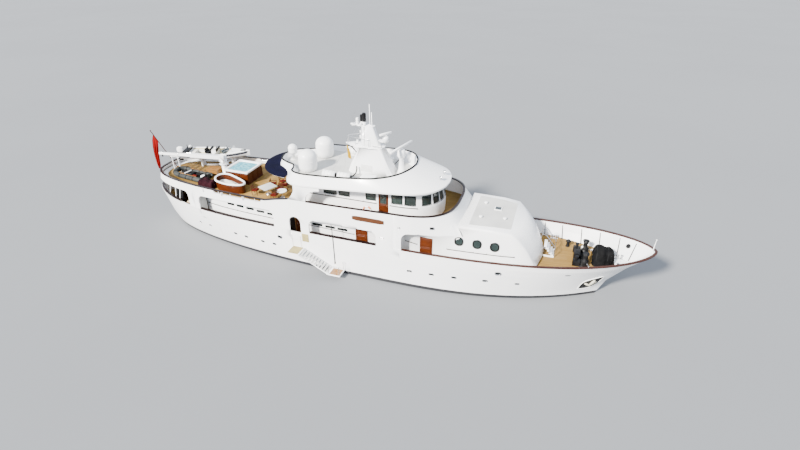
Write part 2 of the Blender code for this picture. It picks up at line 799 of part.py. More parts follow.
def shell_clear():
    """The whole upper plating, swollen by the gap, as one cutter."""
    name = "shell_whole_clear"
    found = bpy.data.objects.get(name)
    if found:
        return found
    shares = (0.0, 0.5, 1.0)
    outer = [shell_half(share) for share in shares]
    inner = [shell_half(share, PLATE) for share in shares]
    whole = helper(add("shell_whole", ring_wall(outer, inner), WHITE))
    return swollen(whole, GAP)


# Mast and aerials


def tower(name, sections, finish=WHITE):
    """A tapered tower of rounded sections: z, aft x, fore x, half width."""
    rows = []
    for z, aft, fore, half in sections:
        bevel = min(half, (fore - aft) / 2) * 0.35
        rows.append([
            (aft, -half + bevel, z), (aft + bevel, -half, z), (fore - bevel, -half, z), (fore, -half + bevel, z),
            (fore, half - bevel, z), (fore - bevel, half, z), (aft + bevel, half, z), (aft, half - bevel, z),
        ])
    mesh = bmesh.new()
    verts = grid(mesh, rows, closed_columns=True)
    mesh.faces.new(verts[0])
    mesh.faces.new(verts[-1])
    return add(name, mesh, finish)


def oval(centre, length, width, low, high, count=20):
    points = []
    for i in range(count):
        turn = 2 * math.pi * i / count
        points.append((centre[0] + length / 2 * math.cos(turn), centre[1] + width / 2 * math.sin(turn)))
    return prism(points, "z", low, high)


PLATFORM_Z = 10.0
YARD_Z = 11.65
LOW_RADAR = (2.35, 0.0, 10.05)
HIGH_RADAR = (1.05, 0.0, 10.98)
PLATFORM_EDGE = [
    (0.95, 0.0), (0.9, 0.4), (0.5, 0.62), (-0.2, 0.68), (-1.2, 0.6), (-1.9, 0.36), (-2.4, 0.0),
]


def make_mast():
    """Tower, platform, head and radar bracket, which are welded into one piece."""
    mast = tower("mast", [(TOP_FLOOR + GAP, -2.0, 1.85, 0.95), (8.6, -1.75, 1.45, 0.85),
                          (PLATFORM_Z + 0.05, -1.0, 0.85, 0.55)])
    edge = PLATFORM_EDGE + [(x, -y) for x, y in reversed(PLATFORM_EDGE[1:-1])]
    pieces = [add("mast_platform", prism(edge, "z", PLATFORM_Z, PLATFORM_Z + 0.1), WHITE)]
    pieces.append(tower("mast_head", [(PLATFORM_Z + 0.05, -0.95, 0.6, 0.42), (YARD_Z + 0.05, -0.95, 0.05, 0.3)]))
    pieces.append(add("mast_yard", oval((-0.85, 0.0), 2.1, 0.62, YARD_Z, YARD_Z + 0.1), WHITE))
    pieces.append(add("radar_bracket", box_mesh((-0.5, 1.1, -0.16, 0.16, 10.47, 10.62)), WHITE))
    gearbox = [(0.24, 10.5), (0.24, HIGH_RADAR[2] - 0.15), (0.2, HIGH_RADAR[2] - GAP)]
    pieces.append(add("radar_gearbox", turned(gearbox, 16, (HIGH_RADAR[0], 0.0, 0.0)), WHITE))
    top = YARD_Z + 0.05
    for i, (x, y, radius, height) in enumerate(MASTHEAD):
        pieces.append(add("masthead_%d" % i, turned([(radius, top), (radius, top + height)], 8, (x, y, 0.0)), BLACK))
    boolean(mast, "UNION", *pieces)
    low = turned([(0.42, TOP_FLOOR + GAP), (0.24, 8.4), (0.16, 9.3), (0.3, 9.42), (0.34, 9.6),
                  (0.28, LOW_RADAR[2] - GAP)], 16, (LOW_RADAR[0], 0.0, 0.0))
    add("radar_pedestal", low, WHITE)
    radar_scanner("radar_scanner_lower", LOW_RADAR, 3.1, 76.0)
    radar_scanner("radar_scanner_upper", HIGH_RADAR, 1.15, 58.0)


MASTHEAD = [
    # x, y, radius, height
    (-1.25, -0.12, 0.09, 0.55),
    (-1.0, 0.14, 0.10, 0.75),
    (-0.72, -0.03, 0.13, 0.95),
    (-0.3, 0.12, 0.03, 1.65),
    (-0.05, -0.1, 0.03, 1.1),
]


def radar_scanner(name, centre, span, heading):
    hub = turned([(0.1, 0.0), (0.1, 0.14)], 12)
    scanner = add(name, hub, WHITE, (0.0, 0.0, 0.0))
    bar = box_mesh((-span / 2, span / 2, -0.09, 0.09, 0.12, 0.28))
    bmesh.ops.bevel(bar, geom=bar.edges[:], offset=0.03, segments=1, affect="EDGES")
    boolean(scanner, "UNION", bar_object(name + "_bar", bar, scanner))
    scanner.location = Vector(centre) * SCALE
    scanner.rotation_euler.z = math.radians(heading)
    bpy.data.objects[name + "_bar"].parent = scanner
    return scanner


def bar_object(name, mesh, parent):
    made = add(name, mesh, WHITE)
    return made


RADOMES = [
    # name, x, y, radius, height, base z
    ("radome_stbd", -5.2, -1.55, 0.77, 1.76, TOP_FLOOR),
    ("radome_port", -5.2, 1.55, 0.77, 1.76, TOP_FLOOR),
    ("radome_small", -7.45, 0.0, 0.38, 1.38, TOP_FLOOR),
]


def make_radomes():
    for name, x, y, radius, height, base in RADOMES:
        if name == "radome_small":
            profile = [(0.12, 0.0), (0.12, 0.55), (0.3, 0.6)]
            profile += [(r, h + 0.6) for r, h in dome(radius, height - 0.6, 0.45)]
        else:
            profile = [(radius * 0.7, 0.0)] + [(r, h + 0.08) for r, h in dome(radius, height - 0.08, 1.05, 7)]
        mesh = turned([(r, h + base + GAP) for r, h in profile], 24, (x, y, 0.0))
        add(name, mesh, WHITE)


def make_liferafts():
    """Two canisters on one cradle at each side of the top deck."""
    for side, sign in (("stbd", -1), ("port", 1)):
        y = sign * 2.55
        cradle = add("liferafts_" + side, box_mesh((-3.4, -0.9, y - 0.2, y + 0.2, TOP_FLOOR + GAP, 8.08)), WHITE)
        drums = []
        for i, x in enumerate((-2.8, -1.5)):
            profile = [(0.2, x - 0.55), (0.32, x - 0.5), (0.32, x + 0.5), (0.2, x + 0.55)]
            drums.append(add("canister_%s_%d" % (side, i), turned(profile, 14, (0.0, y, 8.28), "x"), WHITE))
        boolean(cradle, "UNION", *drums)


# After deck


SPA_X, SPA_Y, SPA_HALF, SPA_RIM = -12.9, 0.1, 1.22, 6.45


def make_spa():
    x0, x1 = SPA_X - SPA_HALF, SPA_X + SPA_HALF
    y0, y1 = SPA_Y - SPA_HALF, SPA_Y + SPA_HALF
    wall = 0.12
    base = BRIDGE_DECK + GAP
    cabinet = add("spa_cabinet", box_mesh((x0 + 0.08, x1 - 0.08, y0 + 0.08, y1 - 0.08, base, SPA_RIM - 0.12 - GAP)), VARNISH)
    hollow = box_mesh((x0 + 0.08 + wall, x1 - 0.08 - wall, y0 + 0.08 + wall, y1 - 0.08 - wall, base + 0.05, 8.0))
    boolean(cabinet, "DIFFERENCE", add("spa_hollow", hollow, WHITE))
    rim = add("spa_tub", box_mesh((x0, x1, y0, y1, SPA_RIM - 0.12, SPA_RIM)), WHITE)
    shell = 0.08 + wall + 0.01
    bowl = box_mesh((x0 + shell, x1 - shell, y0 + shell, y1 - shell, 5.6, SPA_RIM - 0.02))
    boolean(rim, "UNION", add("spa_bowl", bowl, WHITE))
    inside = turned([(0.8, 5.7), (0.95, 6.0), (0.95, 8.0)], 24, (SPA_X, SPA_Y, 0.0))
    boolean(rim, "DIFFERENCE", add("spa_inside", inside, WHITE))


def tender(name, centre, length, beam, depth, finish, heading=0.0, tube=0.22, spring=0.35):
    """An open boat: a vee hull with a round tube along each side, and a hollow between."""
    rows = []
    steps = 10
    for i in range(steps + 1):
        t = i / steps
        x = -length / 2 + length * t
        taper = (1 - max(0.0, (t - 0.45) / 0.55) ** 2.2)
        half = max(beam / 2 * taper, 0.06)
        rise = spring * depth * max(0.0, (t - 0.5) / 0.5) ** 2
        keel = depth * 0.55 * max(0.0, (t - 0.55) / 0.45) ** 2
        sill = depth + rise
        wall = min(tube * 1.6, half * 0.55)
        floor = depth * 0.45 + keel * 0.9 if t > 0.06 else sill - 0.02
        floor = min(floor, sill - 0.02)
        rows.append([
            (x, 0.0, keel), (x, -half * 0.72, depth * 0.35 + rise), (x, -half, depth * 0.7 + rise),
            (x, -half + 0.03, sill), (x, -half + wall * 0.7, sill), (x, -half + wall, floor), (x, 0.0, floor),
            (x, half - wall, floor), (x, half - wall * 0.7, sill), (x, half - 0.03, sill),
            (x, half, depth * 0.7 + rise), (x, half * 0.72, depth * 0.35 + rise),
        ])
    mesh = bmesh.new()
    verts = grid(mesh, rows, closed_columns=True)
    mesh.faces.new(verts[0])
    mesh.faces.new(verts[-1])
    bmesh.ops.triangulate(mesh, faces=mesh.faces)
    mesh.transform(Matrix.Rotation(math.radians(heading), 4, "Z"))
    mesh.transform(Matrix.Translation(centre))
    return add(name, mesh, finish)


def cradle(name, centre, length, width, height, hold, heading):
    """Chocks under a boat: a low frame with two saddles cut to the boat's bottom."""
    place = Matrix.Translation(centre) @ Matrix.Rotation(math.radians(heading), 4, "Z")
    beam = box_mesh((-length / 2, length / 2, -0.08, 0.08, GAP, 0.1))
    beam.transform(place)
    frame = add(name, beam, WHITE)
    saddles = []
    for i, dx in enumerate((-length / 2 + 0.1, length / 2 - 0.1)):
        block = box_mesh((dx - 0.08, dx + 0.08, -width / 2, width / 2, GAP, height))
        block.transform(place)
        saddles.append(add("%s_saddle_%d" % (name, i), block, WHITE))
    boolean(frame, "UNION", *saddles)
    boolean(frame, "DIFFERENCE", swollen(hold, GAP))
    return frame


def make_boats():
    floor = BRIDGE_DECK
    tender("inflatable", (-17.75, -1.25, floor + GAP), 4.0, 1.8, 0.62, TUBE_GREY, 172.0)
    launch = tender("launch", (-17.1, 1.9, floor + 0.7), 6.4, 2.2, 0.75, CREAM, LAUNCH_HEADING, 0.3, 0.12)
    cradle("launch_chocks", (-17.1, 1.9, floor), 3.2, 0.7, 0.95, launch, LAUNCH_HEADING)


LAUNCH_HEADING = 18.0
CRANE_X, CRANE_Y = -15.05, 0.15
BOOM_Z = 7.0
BOOM_REACH = 6.35
BOOM_HEADING = 9.2
PIN = 0.07
PIN_GAP = 0.0016


def swung(mesh):
    """A piece of the crane turned from straight aft to the boom's heading."""
    mesh.transform(Matrix.Translation((-CRANE_X, -CRANE_Y, 0.0)))
    mesh.transform(Matrix.Rotation(math.radians(BOOM_HEADING), 4, "Z"))
    mesh.transform(Matrix.Translation((CRANE_X, CRANE_Y, 0.0)))
    return mesh


def make_crane():
    floor = BRIDGE_DECK + GAP
    post = turned([(0.34, floor), (0.34, floor + 0.1), (0.24, floor + 0.16), (0.24, BOOM_Z - 0.55)], 16,
                  (CRANE_X, CRANE_Y, 0.0))
    add("crane_post", post, WHITE)
    pivot = (CRANE_X, CRANE_Y, BOOM_Z - 0.55 + GAP)
    head = add("crane_head", turned([(0.3, pivot[2]), (0.3, BOOM_Z - 0.22)], 16, (CRANE_X, CRANE_Y, 0.0)), WHITE, pivot)
    for i, y in enumerate((CRANE_Y - 0.23, CRANE_Y + 0.23)):
        plate = box_mesh((CRANE_X - 0.3, CRANE_X + 0.22, y - 0.05, y + 0.05, BOOM_Z - 0.35, BOOM_Z + 0.22))
        boolean(head, "UNION", add("crane_cheek_%d" % i, swung(plate), WHITE))
    pin = turned([(PIN, CRANE_Y - 0.25), (PIN, CRANE_Y + 0.25)], 16, (CRANE_X, 0.0, BOOM_Z), "y")
    boolean(head, "UNION", add("crane_pin", swung(pin), STEEL))
    rows = []
    for x, half, deep in ((0.115, 0.165, 0.17), (-3.2, 0.165, 0.17), (-3.21, 0.13, 0.13), (-BOOM_REACH, 0.1, 0.1)):
        rows.append([(CRANE_X + x, CRANE_Y - half, BOOM_Z - deep), (CRANE_X + x, CRANE_Y + half, BOOM_Z - deep),
                     (CRANE_X + x, CRANE_Y + half, BOOM_Z + deep), (CRANE_X + x, CRANE_Y - half, BOOM_Z + deep)])
    mesh = bmesh.new()
    verts = grid(mesh, rows, closed_columns=True)
    mesh.faces.new(verts[0])
    mesh.faces.new(verts[-1])
    boom = add("crane_boom", swung(mesh), WHITE, (CRANE_X, CRANE_Y, BOOM_Z))
    hole = turned([(PIN + PIN_GAP, CRANE_Y - 0.4), (PIN + PIN_GAP, CRANE_Y + 0.4)], 16, (CRANE_X, 0.0, BOOM_Z), "y")
    boolean(boom, "DIFFERENCE", add("crane_bore", swung(hole), STEEL))


AWNING_X, AWNING_OUT, AWNING_IN = -6.65, 3.15, 1.4
AWNING_TOP, AWNING_DROP = 7.85, 0.18


def make_awning():
    """A half ring of canvas round the after end of the top deck, and the two bows that spread it."""
    rows = [[], [], [], []]
    for i in range(21):
        turn = math.radians(88 + 184 * i / 20)
        c, s = math.cos(turn), math.sin(turn)
        low = AWNING_TOP - AWNING_DROP
        for row, radius, z in zip(rows, (AWNING_IN, AWNING_OUT, AWNING_OUT, AWNING_IN),
                                  (AWNING_TOP - 0.06, low - 0.03, low, AWNING_TOP)):
            row.append((AWNING_X + radius * c, radius * s, z))
    mesh = bmesh.new()
    verts = grid(mesh, rows, closed_rows=True)
    for k in (0, -1):
        mesh.faces.new([row[k] for row in verts])
    canvas = add("awning", mesh, NAVY)
    boolean(canvas, "DIFFERENCE", swollen(bpy.data.objects["top_deck"], GAP))


def make_ensign():
    foot = (-20.45, 0.0, BRIDGE_DECK + GAP)
    staff = add("ensign_staff", pipe([foot, (-20.45, 0.0, 5.33), (-22.65, 0.0, 8.72)], 0.035), VARNISH)
    ball = turned([(0.03, 8.69), (0.07, 8.73), (0.03, 8.79)], 8, (-22.65, 0.0, 0.0))
    boolean(staff, "UNION", add("staff_ball", ball, BRONZE))
    points = [(-22.455, 8.42), (-21.988, 7.70), (-22.3, 6.7), (-22.5, 5.15), (-22.72, 4.95), (-22.95, 5.2),
              (-22.98, 6.3), (-22.85, 7.5)]
    flag = add("ensign", prism(points, "y", -0.03, 0.03), RED)
    boolean(flag, "DIFFERENCE", swollen(staff, GAP))


# Boarding ladder, doors and anchors


LADDER_TOP = Vector((-4.9, -4.62, 1.75))
LADDER_FOOT = Vector((-2.4, -4.62, 0.42))
LADDER_HALF = 0.47
LADDER_TUBE = 0.055


def make_ladder():
    side = side_breadth(-5.4)
    reach = LADDER_TUBE + PIN_GAP
    stage = add("ladder_stage", box_mesh((-6.0, LADDER_TOP.x - reach, -5.14, -side + 0.35, 1.70, 1.80)), WHITE)
    boolean(stage, "DIFFERENCE", swollen(bpy.data.objects["hull"], GAP))
    along = LADDER_FOOT - LADDER_TOP
    parts = []
    for end in (LADDER_TOP, LADDER_FOOT):
        pin = turned([(LADDER_TUBE, end.y - LADDER_HALF - 0.06), (LADDER_TUBE, end.y + LADDER_HALF + 0.06)], 12,
                     (end.x, 0.0, end.z), "y")
        parts.append(add("ladder_pin_%d" % len(parts), pin, STEEL))
    for sign in (-1, 1):
        offset = Vector((0, sign * LADDER_HALF, 0))
        parts.append(add("ladder_string_%d" % len(parts), pipe([LADDER_TOP + offset, LADDER_FOOT + offset], LADDER_TUBE * 0.8, 8),
                         STEEL))
    for i in range(10):
        at = LADDER_TOP + along * (i + 0.5) / 10
        tread = box_mesh((at.x - 0.11, at.x + 0.11, at.y - LADDER_HALF, at.y + LADDER_HALF, at.z - 0.015, at.z + 0.015))
        parts.append(add("tread_%d" % i, tread, STEEL))
    first = turned([(LADDER_TUBE, LADDER_TOP.y - LADDER_HALF - 0.06), (LADDER_TUBE, LADDER_TOP.y + LADDER_HALF + 0.06)], 12,
                   (LADDER_TOP.x, 0.0, LADDER_TOP.z), "y")
    flight = add("ladder_flight", first, STEEL, tuple(LADDER_TOP))
    boolean(flight, "UNION", *parts[1:])
    helper(parts[0])
    landing = box_mesh((LADDER_FOOT.x + reach, LADDER_FOOT.x + 1.15, -5.15, -4.14, 0.36, 0.44))
    add("ladder_landing", landing, WHITE, tuple(LADDER_FOOT))


DOORS = [
    # name, aft x, fore x, outer face y, bottom z, height, thickness, hinge x
    ("wheelhouse_door", DOOR_AFT + PIN_GAP, DOOR_FORE - 0.02, 2.42, BRIDGE_DECK + 0.07, 1.92, 0.07, DOOR_AFT + PIN_GAP),
    ("saloon_door", -0.54, 0.5, HOUSE_HALF + 0.0716, 2.53, 1.9, 0.07, 0.5),
    ("fore_door", 4.93, 5.93, HOUSE_HALF + 0.0716, 2.56, 1.74, 0.07, 5.93),
]


def make_doors():
    for name, aft, fore, face, bottom, height, thick, hinge in DOORS:
        for side, sign in (("stbd", -1), ("port", 1)):
            low, high = sorted((sign * (face - thick), sign * face))
            slab = box_mesh((aft, fore, low, high, bottom, bottom + height))
            add("%s_%s" % (name, side), slab, VARNISH, (hinge, sign * face, bottom))


def make_anchors():
    """A stockless anchor drawn up against each bow."""
    for side, sign in (("stbd", -1), ("port", 1)):
        low = (17.95, sign * (skin(17.95, 1.35) + 0.05), 1.35)
        high = (18.2, sign * (skin(18.2, 2.1) + 0.05), 2.1)
        anchor = add("anchor_" + side, pipe([low, high], 0.09, 8), BRONZE)
        crown = (17.93, sign * (skin(17.93, 1.32) + 0.07), 1.32)
        parts = []
        for k, (x, z) in enumerate(((17.6, 1.72), (18.35, 1.85))):
            tip = (x, sign * (skin(x, z) + 0.05), z)
            parts.append(add("fluke_%s_%d" % (side, k), pipe([crown, tip], 0.08, 6), BRONZE))
        boolean(anchor, "UNION", *parts)
        boolean(anchor, "DIFFERENCE", swollen(bpy.data.objects["hull"], GAP))


# Running gear


def make_running_gear():
    for side, sign in (("stbd", -1), ("port", 1)):
        y = sign * SCREW_Y
        shaft = pipe([(-8.6, y, SCREW_Z + 0.32), (SCREW_X + 0.3, y, SCREW_Z)], SHAFT_RADIUS, 10)
        line = add("shaft_" + side, shaft, BRONZE)
        barrel = turned([(0.17, SCREW_X + 0.26), (0.17, SCREW_X + 0.8)], 12, (0.0, y, SCREW_Z), "x")
        strut = prism([(SCREW_X + 0.35, SCREW_Z), (SCREW_X + 0.72, SCREW_Z), (SCREW_X + 0.95, 0.0), (SCREW_X + 0.5, 0.0)],
                      "y", y - 0.035, y + 0.035)
        boolean(line, "UNION", add("barrel_" + side, barrel, BRONZE), add("strut_" + side, strut, BRONZE))
        boolean(line, "DIFFERENCE", swollen(bpy.data.objects["hull"], GAP))
        propeller("propeller_" + side, (SCREW_X, y, SCREW_Z), sign)
        rudder("rudder_" + side, y)


def propeller(name, centre, hand):
    hub = turned([(0.1, -0.28), (0.16, -0.1), (0.17, 0.2588)], 14, (0.0, 0.0, 0.0), "x")
    screw = add(name, hub, BRONZE)
    blades = []
    for i in range(4):
        rows = []
        for k in range(5):
            t = k / 4
            radius = 0.1 + (SCREW_RADIUS - 0.1) * t
            chord = 0.30 * math.sin(math.pi * (0.18 + 0.72 * t)) + 0.04
            pitch = hand * math.radians(62 - 34 * t)
            thick = 0.03 * (1 - 0.7 * t)
            row = []
            for u, v in ((-1, 0), (0, -1), (1, 0), (0, 1)):
                along, across = u * chord / 2, v * thick
                x = along * math.sin(pitch) + across * math.cos(pitch)
                y = along * math.cos(pitch) - across * math.sin(pitch)
                row.append((x + 0.05, y, radius))
            rows.append(row)
        mesh = bmesh.new()
        verts = grid(mesh, rows, closed_columns=True)
        mesh.faces.new(verts[0])
        mesh.faces.new(verts[-1])
        mesh.transform(Matrix.Rotation(math.radians(90 * i), 4, "X"))
        blades.append(add("%s_blade_%d" % (name, i), mesh, BRONZE))
    boolean(screw, "UNION", *blades)
    for blade in blades:
        blade.parent = screw
    screw.location = Vector(centre) * SCALE


def rudder(name, y):
    rows = []
    for z, aft, fore in ((-2.55, -0.62, 0.3), (-1.1, -0.72, 0.38)):
        rows.append([(fore, 0.0, z), (fore * 0.5, -0.07, z), (-0.1, -0.08, z), (aft, -0.012, z),
                     (aft, 0.012, z), (-0.1, 0.08, z), (fore * 0.5, 0.07, z)])
    mesh = bmesh.new()
    verts = grid(mesh, rows, closed_columns=True)
    mesh.faces.new(verts[0])
    mesh.faces.new(verts[-1])
    blade = add(name, mesh, BOTTOM)
    stock = add(name + "_stock", turned([(0.075, -1.2), (0.075, -0.86 - GAP)], 12), BOTTOM)
    boolean(blade, "UNION", stock)
    stock.parent = blade
    blade.location = Vector((RUDDER_X, y, 0.0)) * SCALE


def make_keel():
    points = [(12.9, -2.6 - GAP), (-11.0, -2.6 - GAP), (-13.2, -2.35 - GAP), (-15.2, -1.98 - GAP),
              (-15.5, KEEL_BOTTOM), (12.2, KEEL_BOTTOM)]
    add("keel", prism(points, "y", -KEEL_HALF, KEEL_HALF), BOTTOM)


# Foredeck


WINDLASS_X = 16.95
COVER = [
    # x, half width, height above the deck
    (17.75, 0.65, 0.7), (17.9, 0.9, 1.2), (18.25, 0.92, 1.36), (18.65, 0.85, 1.2), (18.95, 0.74, 1.2),
    (19.25, 0.52, 0.95), (19.36, 0.42, 0.35),
]


def make_foredeck_gear():
    """The windlass and, aft of it, gear lashed down under a dark canvas cover."""
    above = deck_height(WINDLASS_X + 0.4) + TEAK
    deck = bpy.data.objects["main_deck"]
    seat = [(x, deck_height(x) + TEAK - 0.02) for x in (WINDLASS_X, WINDLASS_X + 0.6)]
    wind = add("windlass", prism(seat + [(WINDLASS_X + 0.6, above + 0.06), (WINDLASS_X, above + 0.06)], "y", -1.2, 1.2), STEEL)
    drums = []
    for i, y in enumerate((-0.95, 0.95)):
        drum = turned([(0.28, above), (0.28, above + 0.45), (0.16, above + 0.6), (0.16, above + 0.8), (0.26, above + 1.1)], 14, (WINDLASS_X + 0.3, y, 0))
        drums.append(add("drum_%d" % i, drum, STEEL))
    boolean(wind, "UNION", *drums)
    boolean(wind, "DIFFERENCE", swollen(deck, GAP))
    rows = []
    for x, half, rise in COVER:
        low = deck_height(x) + TEAK - 0.02
        high = deck_height(x) + rise
        rows.append([(x, -half, low), (x, -half * 0.85, high - 0.15), (x, -half * 0.35, high),
                     (x, half * 0.35, high), (x, half * 0.85, high - 0.15), (x, half, low)])
    mesh = bmesh.new()
    verts = grid(mesh, rows, closed_columns=True)
    mesh.faces.new(verts[0])
    mesh.faces.new(verts[-1])
    boolean(add("foredeck_cover", mesh, NAVY), "DIFFERENCE", swollen(deck, GAP))


def main():
    clear_scene()
    make_hull()
    make_keel()
    make_deck()
    make_bulwark()
    make_cap_rail()
    make_shell()
    make_bridge_rails()
    make_bridge_deck()
    make_houses()
    make_wheelhouse()
    make_top_deck()
    make_wings()
    make_mast()
    make_radomes()
    make_liferafts()
    make_spa()
    make_boats()
    make_crane()
    make_awning()
    make_ensign()
    make_ladder()
    make_doors()
    make_anchors()
    make_running_gear()
    make_foredeck_gear()


main()
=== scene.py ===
# %% [markdown]
# # A classic motor yacht at half size
# The frame holds the yacht's solids, in metres and at half the real size. This lesson gives them paint, teak and
# glass, and adds what is too small or too soft for solids: windows, ports, rails, covers, flags and deck gear.
# Places are written as they are on the real yacht, in metres, and halved once, when a piece is finished.

import json
import math

import bmesh
import bpy
from mathutils import Matrix, Vector
from mathutils.bvhtree import BVHTree

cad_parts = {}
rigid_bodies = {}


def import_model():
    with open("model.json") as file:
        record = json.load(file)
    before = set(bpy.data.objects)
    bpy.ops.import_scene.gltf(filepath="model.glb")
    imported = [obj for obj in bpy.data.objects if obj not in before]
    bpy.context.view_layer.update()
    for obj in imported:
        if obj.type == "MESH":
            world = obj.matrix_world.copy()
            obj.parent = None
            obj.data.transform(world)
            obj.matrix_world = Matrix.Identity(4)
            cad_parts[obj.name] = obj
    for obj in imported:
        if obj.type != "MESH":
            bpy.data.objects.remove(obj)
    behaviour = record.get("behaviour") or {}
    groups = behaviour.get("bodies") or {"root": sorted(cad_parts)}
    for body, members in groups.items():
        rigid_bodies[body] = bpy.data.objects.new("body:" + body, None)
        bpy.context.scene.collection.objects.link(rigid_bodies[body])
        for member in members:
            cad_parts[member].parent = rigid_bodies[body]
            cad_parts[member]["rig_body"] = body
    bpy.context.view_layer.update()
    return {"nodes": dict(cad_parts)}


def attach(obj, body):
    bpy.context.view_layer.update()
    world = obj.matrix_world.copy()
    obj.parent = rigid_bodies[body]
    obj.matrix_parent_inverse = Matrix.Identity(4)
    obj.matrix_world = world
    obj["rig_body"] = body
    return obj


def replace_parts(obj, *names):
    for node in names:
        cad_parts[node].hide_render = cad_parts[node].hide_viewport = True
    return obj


SCALE = 0.5
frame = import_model()
nodes = frame["nodes"]

# %% [markdown]
# ## The camera
# The photograph was taken from the air, off the starboard side. Its camera was solved from the yacht's own lengths,
# so that the hull, the decks and the mast all fall where they are seen.

# %% Camera
lens = bpy.data.cameras.new("aerial_camera")
lens.lens = 21.65
lens.sensor_width = 36.0
camera = bpy.data.objects.new("aerial_camera", lens)
camera.location = (6.855, -16.835, 12.06)
camera.rotation_euler = (math.radians(59.47), 0.0, math.radians(18.82))
bpy.context.scene.collection.objects.link(camera)
bpy.context.scene.camera = camera
print("camera at", tuple(camera.location))

# %% [markdown]
# ## Shared effects
# Paint that has stood in salt air is never one colour, so one group gives a soft patchy mask and a fine height.
# Others lay planks, grain and threads. Each is built once, and every finish places it with values of its own.

# %% Node groups
def feed(tree, socket, value):
    """Links a socket to the value where that is a socket too, or else sets it."""
    if isinstance(value, bpy.types.NodeSocket):
        tree.links.new(value, socket)
    else:
        socket.default_value = value


def math_node(tree, operation, *values, kind="ShaderNodeMath"):
    """One step of arithmetic on sockets or numbers."""
    node = tree.nodes.new(kind)
    node.operation = operation
    for socket, value in zip(node.inputs, values):
        feed(tree, socket, value)
    return node.outputs[0]


def stretched(tree, vector, factors):
    return math_node(tree, "MULTIPLY", vector, factors, kind="ShaderNodeVectorMath")


def noise_node(tree, vector, scale, detail=3.0, roughness=0.55):
    node = tree.nodes.new("ShaderNodeTexNoise")
    for label, value in (("Vector", vector), ("Scale", scale), ("Detail", detail), ("Roughness", roughness)):
        feed(tree, node.inputs[label], value)
    return node.outputs["Fac"]


def ramp_node(tree, value, low, high, to_low=0.0, to_high=1.0):
    """A smooth step from one value to another."""
    node = tree.nodes.new("ShaderNodeMapRange")
    node.interpolation_type = "SMOOTHSTEP"
    labels = ("Value", "From Min", "From Max", "To Min", "To Max")
    for label, number in zip(labels, (value, low, high, to_low, to_high)):
        feed(tree, node.inputs[label], number)
    return node.outputs["Result"]


def parted(tree, vector):
    """The x, y and z of a vector."""
    node = tree.nodes.new("ShaderNodeSeparateXYZ")
    tree.links.new(vector, node.inputs[0])
    return node.outputs


def new_group(name, numbers, outputs):
    """An empty group that takes a Vector and some numbers, each with its default, and gives floats."""
    tree = bpy.data.node_groups.new(name, "ShaderNodeTree")
    tree.interface.new_socket("Vector", in_out="INPUT", socket_type="NodeSocketVector")
    for label, value in numbers.items():
        tree.interface.new_socket(label, in_out="INPUT", socket_type="NodeSocketFloat").default_value = value
    for label in outputs:
        tree.interface.new_socket(label, in_out="OUTPUT", socket_type="NodeSocketFloat")
    return tree, tree.nodes.new("NodeGroupInput").outputs, tree.nodes.new("NodeGroupOutput").inputs


def make_salt():
    tree, given, out = new_group("salt_and_wear", {"Scale": 1.0}, ["Patches", "Grit"])
    broad = noise_node(tree, given["Vector"], given["Scale"], 4.0)
    tree.links.new(ramp_node(tree, broad, 0.36, 0.66), out["Patches"])
    fine = math_node(tree, "MULTIPLY", given["Scale"], 60.0)
    tree.links.new(noise_node(tree, given["Vector"], fine, 2.0), out["Grit"])
    return tree


def make_planks():
    """Planks along x with black seams; each plank gets a tone of its own."""
    tree, given, out = new_group("laid_planks", {"Width": 0.03, "Length": 1.1, "Seam": 0.06},
                                 ["Seam", "Tone", "Grain"])
    place = parted(tree, given["Vector"])
    across = math_node(tree, "DIVIDE", place["Y"], given["Width"])
    row = math_node(tree, "FLOOR", across)
    shift = math_node(tree, "FRACT", math_node(tree, "MULTIPLY", row, 0.381))
    along = math_node(tree, "ADD", math_node(tree, "DIVIDE", place["X"], given["Length"]), shift)
    end = math_node(tree, "MULTIPLY", math_node(tree, "PINGPONG", along, 0.5), 24.0)
    edge = math_node(tree, "MINIMUM", math_node(tree, "PINGPONG", across, 0.5), end)
    tree.links.new(ramp_node(tree, edge, 0.0, given["Seam"], 1.0, 0.0), out["Seam"])
    cell = tree.nodes.new("ShaderNodeCombineXYZ")
    tree.links.new(row, cell.inputs["Y"])
    tree.links.new(math_node(tree, "FLOOR", along), cell.inputs["X"])
    chance = tree.nodes.new("ShaderNodeTexWhiteNoise")
    tree.links.new(cell.outputs[0], chance.inputs["Vector"])
    tree.links.new(chance.outputs["Value"], out["Tone"])
    tree.links.new(noise_node(tree, stretched(tree, given["Vector"], (6.0, 160.0, 40.0)), 1.0, 4.0), out["Grain"])
    return tree


def make_grain():
    tree, given, out = new_group("wood_grain", {"Scale": 1.0}, ["Figure", "Pores"])
    line = stretched(tree, given["Vector"], (2.0, 22.0, 22.0))
    tree.links.new(noise_node(tree, line, given["Scale"], 5.0, 0.6), out["Figure"])
    pore = math_node(tree, "MULTIPLY", given["Scale"], 9.0)
    tree.links.new(noise_node(tree, line, pore, 2.0), out["Pores"])
    return tree


def make_weave():
    tree, given, out = new_group("canvas_weave", {"Threads": 900.0}, ["Threads", "Fade"])
    place = parted(tree, given["Vector"])
    slant = math_node(tree, "ADD", place["Y"], place["Z"])
    warp, weft = (math_node(tree, "SINE", math_node(tree, "MULTIPLY", way, given["Threads"]))
                  for way in (place["X"], slant))
    tree.links.new(math_node(tree, "MULTIPLY", warp, weft), out["Threads"])
    tree.links.new(noise_node(tree, given["Vector"], 3.5, 4.0), out["Fade"])
    return tree


SALT, PLANKS, GRAIN, WEAVE = make_salt(), make_planks(), make_grain(), make_weave()
print("shared effects:", [group.name for group in (SALT, PLANKS, GRAIN, WEAVE)])

# %% [markdown]
# ## Finishes
# Each finish starts from one Principled shader. Numbers that are the same all over sit on its own sockets; only what
# changes over the surface is linked, through a colour mix, a roughness range and a bump.

# %% Finish helpers
finishes = {}


